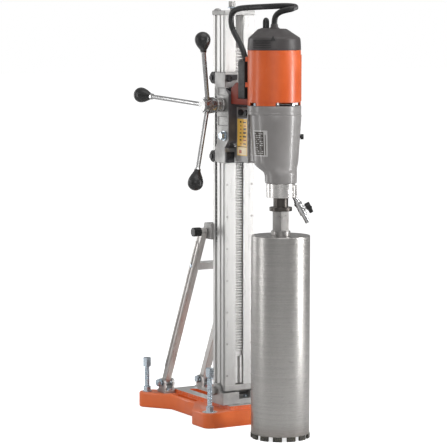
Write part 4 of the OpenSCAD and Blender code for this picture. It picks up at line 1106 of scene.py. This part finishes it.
# ---------- labels ----------
LABEL_SEED = 7
PALE, INK, RED = 1, 2, 3                      # places in the warning label's list of finishes


def warning_label(chance):
    """A film on the adapter, with plain blocks for its print."""
    near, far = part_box("adapter_plate")
    front, rear = near.y + 4 * MM, far.y - 5 * MM
    bottom, top = near.z + 15 * MM, far.z - 26 * MM
    width, height = rear - front, top - bottom
    split = bottom + 0.235 * height
    bm = bmesh.new()

    def side(u, v, out):
        return Vector((near.x - out, u, v))

    def layer(across, up, inside, outside, material=0):
        slab(bm, side, across, up, inside * MM, outside * MM, (1, 1), material)
    layer((front, rear), (bottom, top), -0.4, 0.55)
    layer((front + 2 * MM, rear - 2 * MM), (bottom + 2 * MM, split - 1 * MM), 0.5, 0.62, PALE)
    layer((front + 1 * MM, rear - 1 * MM), (split, split + 1.6 * MM), 0.5, 0.64, INK)
    for row in range(7):
        z = split + (6 + row * 8) * MM
        for column, (start, end) in enumerate(((0.10, 0.42), (0.58, 0.76))):
            ink = RED if (row + column) % 4 == 1 else INK
            end -= chance.uniform(0, 0.10)
            tall = chance.uniform(2.2, 4.6) * MM
            layer((front + start * width, front + end * width), (z, z + tall), 0.5, 0.66, ink)
    layer((front + 0.55 * width, front + 0.8 * width), (bottom + 5 * MM, bottom + 13 * MM),
          0.55, 0.68, RED)
    film = from_bmesh("warning_label", bm, ["yellow film", "pale film", "ink", "red ink"])
    place(film, "carriage", "label_film", "label_plates")


def rating_plate(chance):
    """A plate on the gearbox, with plain blocks for its print."""
    z0, z1, rim = HOUSING_LOW - 110 * MM, HOUSING_LOW - 53 * MM, 3 * MM
    bm = bmesh.new()

    def layer(across, up, inside, outside, steps, material=0):
        slab(bm, round_gearbox, across, up, inside * MM, outside * MM, (steps, 1), material)
    layer((51, 94), (z0, z1), -0.4, 0.5, 20)
    layer((61, 90), (z0 + rim, z1 - rim), 0.4, 0.6, 16, 1)
    layer((55.5, 57.5), (z0 + rim, z1 - 3 * rim), 0.4, 0.6, 2, 1)
    for row in range(11):
        z = z0 + (6 + row * 4.3) * MM
        turn = 63.0
        while turn < 86:
            wide = chance.uniform(2.0, 6.0)
            if chance.random() < 0.62:
                tall = chance.uniform(1.2, 2.4) * MM
                layer((turn, min(88, turn + wide)), (z, z + tall), 0.55, 0.7, 3)
            turn += wide + 1.6
    plate = from_bmesh("rating_plate", bm, ["plate", "ink"])
    place(plate, "carriage", "label_film")


def labels():
    chance = random.Random(LABEL_SEED)
    warning_label(chance)
    rating_plate(chance)


# ---------- studio ----------


def floor():
    bpy.ops.mesh.primitive_plane_add(size=60, location=(0, 0, -0.2 * MM))
    plane = bpy.context.object
    plane.name = "studio_floor"
    s = start_material("floor", specular=0.1)
    s.bsdf.inputs["Emission Strength"].default_value = FLOOR_GLOW
    seen = s.node("ShaderNodeLightPath").outputs["Is Camera Ray"]
    s.feed(s.grey(seen), s.bsdf.inputs["Emission Color"])
    shade = s.ramp(s.noise(s.at, 3.0), 0, 1, 0.66, 0.68)
    plane.data.materials.append(finish_material(s, s.grey(shade), 0.9, shade, 0.01))


# Lamps: turn from straight ahead towards the crank, distance, height, width, length and power
LAMPS = {
    "right_strip": (-49, 1.7, 0.75, 0.26, 1.8, 26),
    "left_strip": (106, 1.7, 0.7, 0.26, 1.6, 6),
    "front_fill": (30, 3.2, 1.6, 2.2, 1.6, 20),
    "rear_left": (154, 2.9, 0.9, 1.0, 1.8, 15),
    "top": (0, 0.6, 2.4, 1.6, 1.6, 14),
}
LAMPS_AIM = Vector((0, -0.1, 0.5))
FLOOR_GLOW = 0.76                             # the floor's own light, seen by the camera only
ROOM_GLOW = 0.60


def softbox(name, turn, distance, height, wide, tall, power):
    """A lamp at an angle from straight ahead towards the crank side, facing the rig."""
    data = bpy.data.lights.new(name, "AREA")
    data.shape, data.size, data.size_y, data.energy = "RECTANGLE", wide, tall, power
    lamp = show(bpy.data.objects.new(name, data))
    turn = radians(turn)
    lamp.location = (-distance * sin(turn), LAMPS_AIM.y - distance * cos(turn), height)
    lamp.rotation_euler = (LAMPS_AIM - lamp.location).to_track_quat("-Z", "Y").to_euler()


def studio():
    world = bpy.data.worlds.new("studio")
    bpy.context.scene.world = world
    world.use_nodes = True
    s = Shader(world.node_tree)
    world.node_tree.nodes.clear()
    height = s.node("ShaderNodeSeparateXYZ",
                    {0: s.node("ShaderNodeTexCoord").outputs["Generated"]}).outputs[2]
    glow = s.ramp(height, -0.05, 0.7, 0.30, 0.9)
    room = s.node("ShaderNodeBackground", {0: s.grey(glow), 1: ROOM_GLOW})
    behind = s.node("ShaderNodeBackground", {0: (1, 1, 1), 1: 1.0})
    seen = s.node("ShaderNodeLightPath").outputs["Is Camera Ray"]
    both = s.node("ShaderNodeMixShader", {0: seen, 1: room.outputs[0], 2: behind.outputs[0]})
    out = s.node("ShaderNodeOutputWorld", {"Surface": both.outputs[0]})
    out.is_active_output = True
    for name, settings in LAMPS.items():
        softbox(name, *settings)
    bpy.context.scene.view_settings.view_transform = "Standard"


cad_nodes()
for foot_number in range(1, 5):
    levelling(foot_number)
for build in (base, jack, column, struts, carriage, crank, knobs, motor, cap, handle, switch,
              gearbox, labels, floor, studio):
    build()
